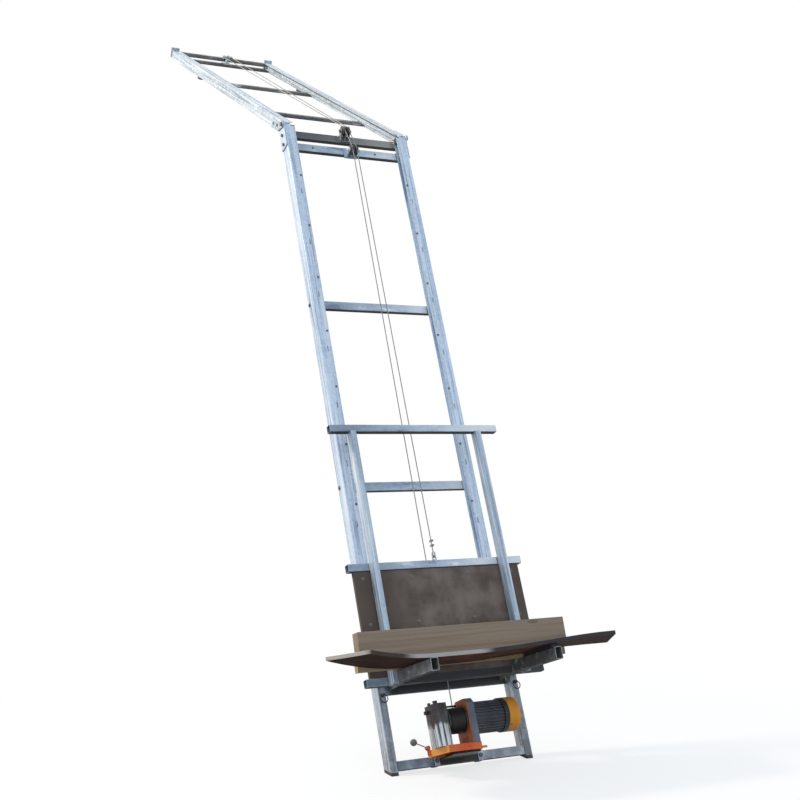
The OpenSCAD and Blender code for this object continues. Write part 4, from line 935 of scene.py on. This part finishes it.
# Deck and back board: film-faced birch plywood, bolted to the arms and bars. The brown film is scuffed
# and greyed on top, and the sawn edges show the veneers, weathered to a lavender grey.
DECK_TILT = math.radians(4.5)
DECK_LEAN = LEAN - DECK_TILT
DECK_FRONT, DECK_UP = -0.535, 0.4454
DECK_ORIGIN = MAST @ Vector((0, DECK_FRONT, DECK_UP))
BOARD_FACE, BOARD_UP = -0.108, 0.454
BOARD_ORIGIN = MAST @ Vector((0, BOARD_FACE, BOARD_UP))
PLY_T = 0.018
PLIES = 9
BOW_FROM, BOW_R = -0.330, 1.300
LIFT = 0.036
LIFT_FROM, LIFT_TO = -0.100, 0.700
BROWN_SHADED_FILM = (0.026, 0.011, 0.007, 1), (0.170, 0.060, 0.030, 1)
GREYED_FILM = (0.105, 0.078, 0.064, 1), (0.215, 0.170, 0.142, 1)
FILM_SCUFFED = (0.115, 0.095, 0.082, 1)
OILED_PLIES = (0.040, 0.028, 0.023, 1), (0.110, 0.085, 0.072, 1)
GREYED_PLIES = (0.26, 0.23, 0.215, 1), (0.62, 0.57, 0.54, 1)
FILMED_PLIES = (0.030, 0.028, 0.032, 1), (0.095, 0.085, 0.095, 1)
PLY_RUBBED = (0.30, 0.26, 0.23, 1)
OILED_FROM, GREYED_FROM, FILMED_FROM = (-0.670, -0.645), (-0.50, -0.42), (-0.08, 0.0)
WORN_FROM, WORN_TO = (-0.35, -0.1), (0.3, 0.5)
COACH_HEAD = {"Radius": 0.0095, "Height": 0.004, "Washer": 0.010, "Sides": 14}
ARM_X = 0.339
ARM_BOLTS_ALONG = 0.05, 0.19
BOARD_BOLTS_X, BOARD_BOLTS_UP = (-0.43, -0.16, 0.16, 0.43), (0.72, 0.955)


def film_plywood(lean, origin, thin, bowed, new, worn):
    """Boards that are thin along the frame's axis number thin, and flat, or bowed and lifted as the deck."""

    def build(tree, place):
        own = in_frame(tree, place, lean, origin=origin)
        axes = tree.add("ShaderNodeSeparateXYZ", sockets={0: own})
        deep = axes.part("XYZ"[thin])
        if bowed:
            left = axes.math("MAXIMUM", BOW_FROM - axes, 0.0)
            deep = deep - left * left / (2 * BOW_R) - axes.between(LIFT_FROM, LIFT_TO) * LIFT
        facing = in_frame(tree, tree.add("ShaderNodeTexCoord", out="Normal"), lean)
        across = tree.add("ShaderNodeSeparateXYZ", sockets={0: facing}, out="XYZ"[thin])
        face = across.math("ABSOLUTE", across).between(0.6, 0.85)
        rounded, edge = soft_edges(tree, 0.002)
        layer = deep.math("SINE", deep * (math.pi * PLIES / PLY_T))
        fibre = mottle(tree, in_frame(tree, place, lean, (0.08, 0.006, 0.003)), 1.0, 4.0)
        ply = (layer * 0.35 + fibre).between(0.2, 0.9)
        plies = OILED_PLIES, GREYED_PLIES, FILMED_PLIES
        oiled, greyed, filmed = (tint(tree, ply, *tones) for tones in plies)
        bare = 1 - axes.between(*OILED_FROM) + axes.between(*GREYED_FROM)
        cut = tint(tree, axes.between(*FILMED_FROM), tint(tree, bare, oiled, greyed), filmed)
        stain = mottle(tree, own, 7.0, 5.0)
        scuff = mottle(tree, in_frame(tree, place, lean, (0.5, 0.02, 0.02)), 1.0, 5.0).between(0.55, 0.72)
        mesh = mottle(tree, own, 700.0, 1.0)
        middle = axes.between(*WORN_FROM) * (1 - axes.between(*WORN_TO))
        film = tint(tree, stain.between(0.3, 0.7) * (middle * 0.8 + 0.2), new, worn)
        film = tint(tree, scuff * 0.25, film, FILM_SCUFFED)
        colour = tint(tree, face, cut, film)
        colour = tint(tree, edge * 0.2, colour, PLY_RUBBED)
        relief = mesh * face * 0.4 + layer * 0.2 + fibre * 0.6
        return {
            "Base Color": colour,
            "Roughness": 0.85 - face * 0.1 + scuff * 0.1,
            "Specular IOR Level": 0.05,
            "Normal": bumped(tree, relief, rounded, 0.3, 0.0006),
        }

    return build


# The deck's film is dark: brown film, and painted shade.
deck_film = film_plywood(DECK_LEAN, DECK_ORIGIN, 2, True, *BROWN_SHADED_FILM)
dress(finish("film_plywood_deck", deck_film), "deck_board")
back_film = film_plywood(LEAN, BOARD_ORIGIN, 1, False, *GREYED_FILM)
dress(finish("film_plywood_back", back_film), "back_board")

deck_along = Vector((0, math.cos(DECK_TILT), math.sin(DECK_TILT)))
deck_up = Vector((0, -math.sin(DECK_TILT), math.cos(DECK_TILT)))
lifted = LIFT / 2 * (1 - math.cos(math.pi * (ARM_X - LIFT_FROM) / (LIFT_TO - LIFT_FROM)))
coach_bolts = []
for along in ARM_BOLTS_ALONG:
    for x, raised in ((-ARM_X, 0), (ARM_X, lifted)):
        front_edge = Vector((x, DECK_FRONT, DECK_UP))
        coach_bolts.append((front_edge + deck_along * along + deck_up * (PLY_T + raised), deck_up))
coach_bolts += [((x, BOARD_FACE, up), FRONT) for x in BOARD_BOLTS_X for up in BOARD_BOLTS_UP]
bolts("coach_bolts", "carriage", coach_bolts, COACH_HEAD)


# Batten and kick timber: sawn softwood, nailed down from above, with growth rings that run on from the
# faces into the ends, a rough saw finish, grey weathering and an oiled orange rim at the ends.
YELLOW_WOOD = (0.56, 0.44, 0.27, 1), (0.38, 0.24, 0.12, 1)
GREY_WOOD = (0.33, 0.245, 0.165, 1), (0.190, 0.125, 0.078, 1)
KNOT_BROWN = (0.085, 0.050, 0.028, 1)
WOOD_WEATHERED = (0.25, 0.215, 0.18, 1)
WOOD_OILED = (0.42, 0.25, 0.11, 1)
BATTEN_PITH, KICK_PITH = (0.40, -0.05), (0.27, -0.03)
RING_RADIANS = 1150.0


def softwood(pith, early, late):
    """Wood with its rings round a pith, whose place is given across the grain."""

    def build(tree, place):
        own = in_frame(tree, place, DECK_LEAN, origin=DECK_ORIGIN)
        wavy = warped(tree, own, in_frame(tree, own, 0, (0.8, 0.1, 0.1)), 1.0, (0, 0.03, 0.03))
        axes = tree.add("ShaderNodeSeparateXYZ", sockets={0: wavy})
        y, z = axes.part("Y") - pith[0], axes.part("Z") - pith[1]
        radius = y.math("SQRT", y * y + z * z)
        ring = radius.math("SINE", radius * RING_RADIANS) * 0.5 + 0.5
        fibre = mottle(tree, in_frame(tree, own, 0, (0.3, 0.003, 0.003)), 1.0, 4.0)
        weather = mottle(tree, in_frame(tree, own, 0, (0.6, 0.05, 0.05)), 1.0, 4.0).between(0.35, 0.7)
        rounded, edge = soft_edges(tree, 0.003)
        figure = mottle(tree, in_frame(tree, wavy, 0, (0.9, 0.016, 0.016)), 1.0, 3.0).between(0.38, 0.62)
        cells = in_frame(tree, own, 0, (0.34, 0.13, 0.09))
        knot = tree.add("ShaderNodeTexVoronoi", sockets={"Vector": cells, "Scale": 1.0}, out="Distance")
        knot = 1 - knot.between(0.07, 0.13)
        colour = tint(tree, ring * ring * 0.5 + figure * 0.45 + fibre * 0.15, early, late)
        colour = tint(tree, knot * 0.75, colour, KNOT_BROWN)
        colour = tint(tree, weather * 0.4, colour, WOOD_WEATHERED)
        colour = tint(tree, edge * 0.3, colour, WOOD_OILED)
        return {"Base Color": colour, "Roughness": fibre * 0.2 + 0.62,
                "Normal": bumped(tree, fibre + ring * 0.3, rounded, 0.4, 0.0008)}

    return build


dress(finish("softwood_batten", softwood(BATTEN_PITH, *YELLOW_WOOD)), "deck_batten")
dress(finish("softwood_kick", softwood(KICK_PITH, *GREY_WOOD)), "kick_timber")


# Head: tubes, channels, stops and knee plates of the same make as the mast. The zinc is newer here and
# its spangle shows more, and a line of painted shade runs along the channels' mouths.
HEAD_ZINC = (0.28, 0.34, 0.42, 1), (0.58, 0.65, 0.73, 1)
MOUTH_SHADE = (0.035, 0.036, 0.040, 1)
MOUTH_BEHIND_HINGE, MOUTH_HALF = 0.004, 0.006
MOUTH_AT = (HEAD.to_3x3().inverted() @ HINGE).y + MOUTH_BEHIND_HINGE
HEAD_RUNGS_AT = 0.580, 1.590, 2.585
HEAD_RUNG_WELD_Y, HEAD_RUNG_WELD_HALF = 0.0285, 0.018
HEAD_STITCH_X, HEAD_STITCH_Y = 0.3592, 0.0290
HEAD_STITCHES_AT = [0.35 + 0.42 * i for i in range(5)]


def forward(axes):
    """Place from front to back."""
    return axes.part("Y")


# A painted shade line along the channels' mouths.
CHANNEL_MOUTH_SHADE = MOUTH_SHADE, forward, MOUTH_AT, MOUTH_HALF
head_zinc = HEAD_LEAN, COARSE_SPANGLE, CLEAN_TO, ALONG, *HEAD_ZINC
dress(finish("galvanised_channels", zinc(*head_zinc, seam=CHANNEL_MOUTH_SHADE)), "head_rails")
dress(finish("galvanised_head", zinc(*head_zinc)), "head_stiles", "head_plates", "end_block")
# The head rungs take the dark zinc as painted shade.
dress(dull_shaded_zinc, "head_rungs")

head_lines = []
for side in SIDES:
    for along in HEAD_RUNGS_AT:
        head_lines.append(upright_line(side * RUNG_WELD_X, HEAD_RUNG_WELD_Y, along, HEAD_RUNG_WELD_HALF))
    for along in HEAD_STITCHES_AT:
        head_lines.append(upright_line(side * HEAD_STITCH_X, HEAD_STITCH_Y, along, STITCH_HALF))
welds("head_welds", "head", HEAD, head_lines)
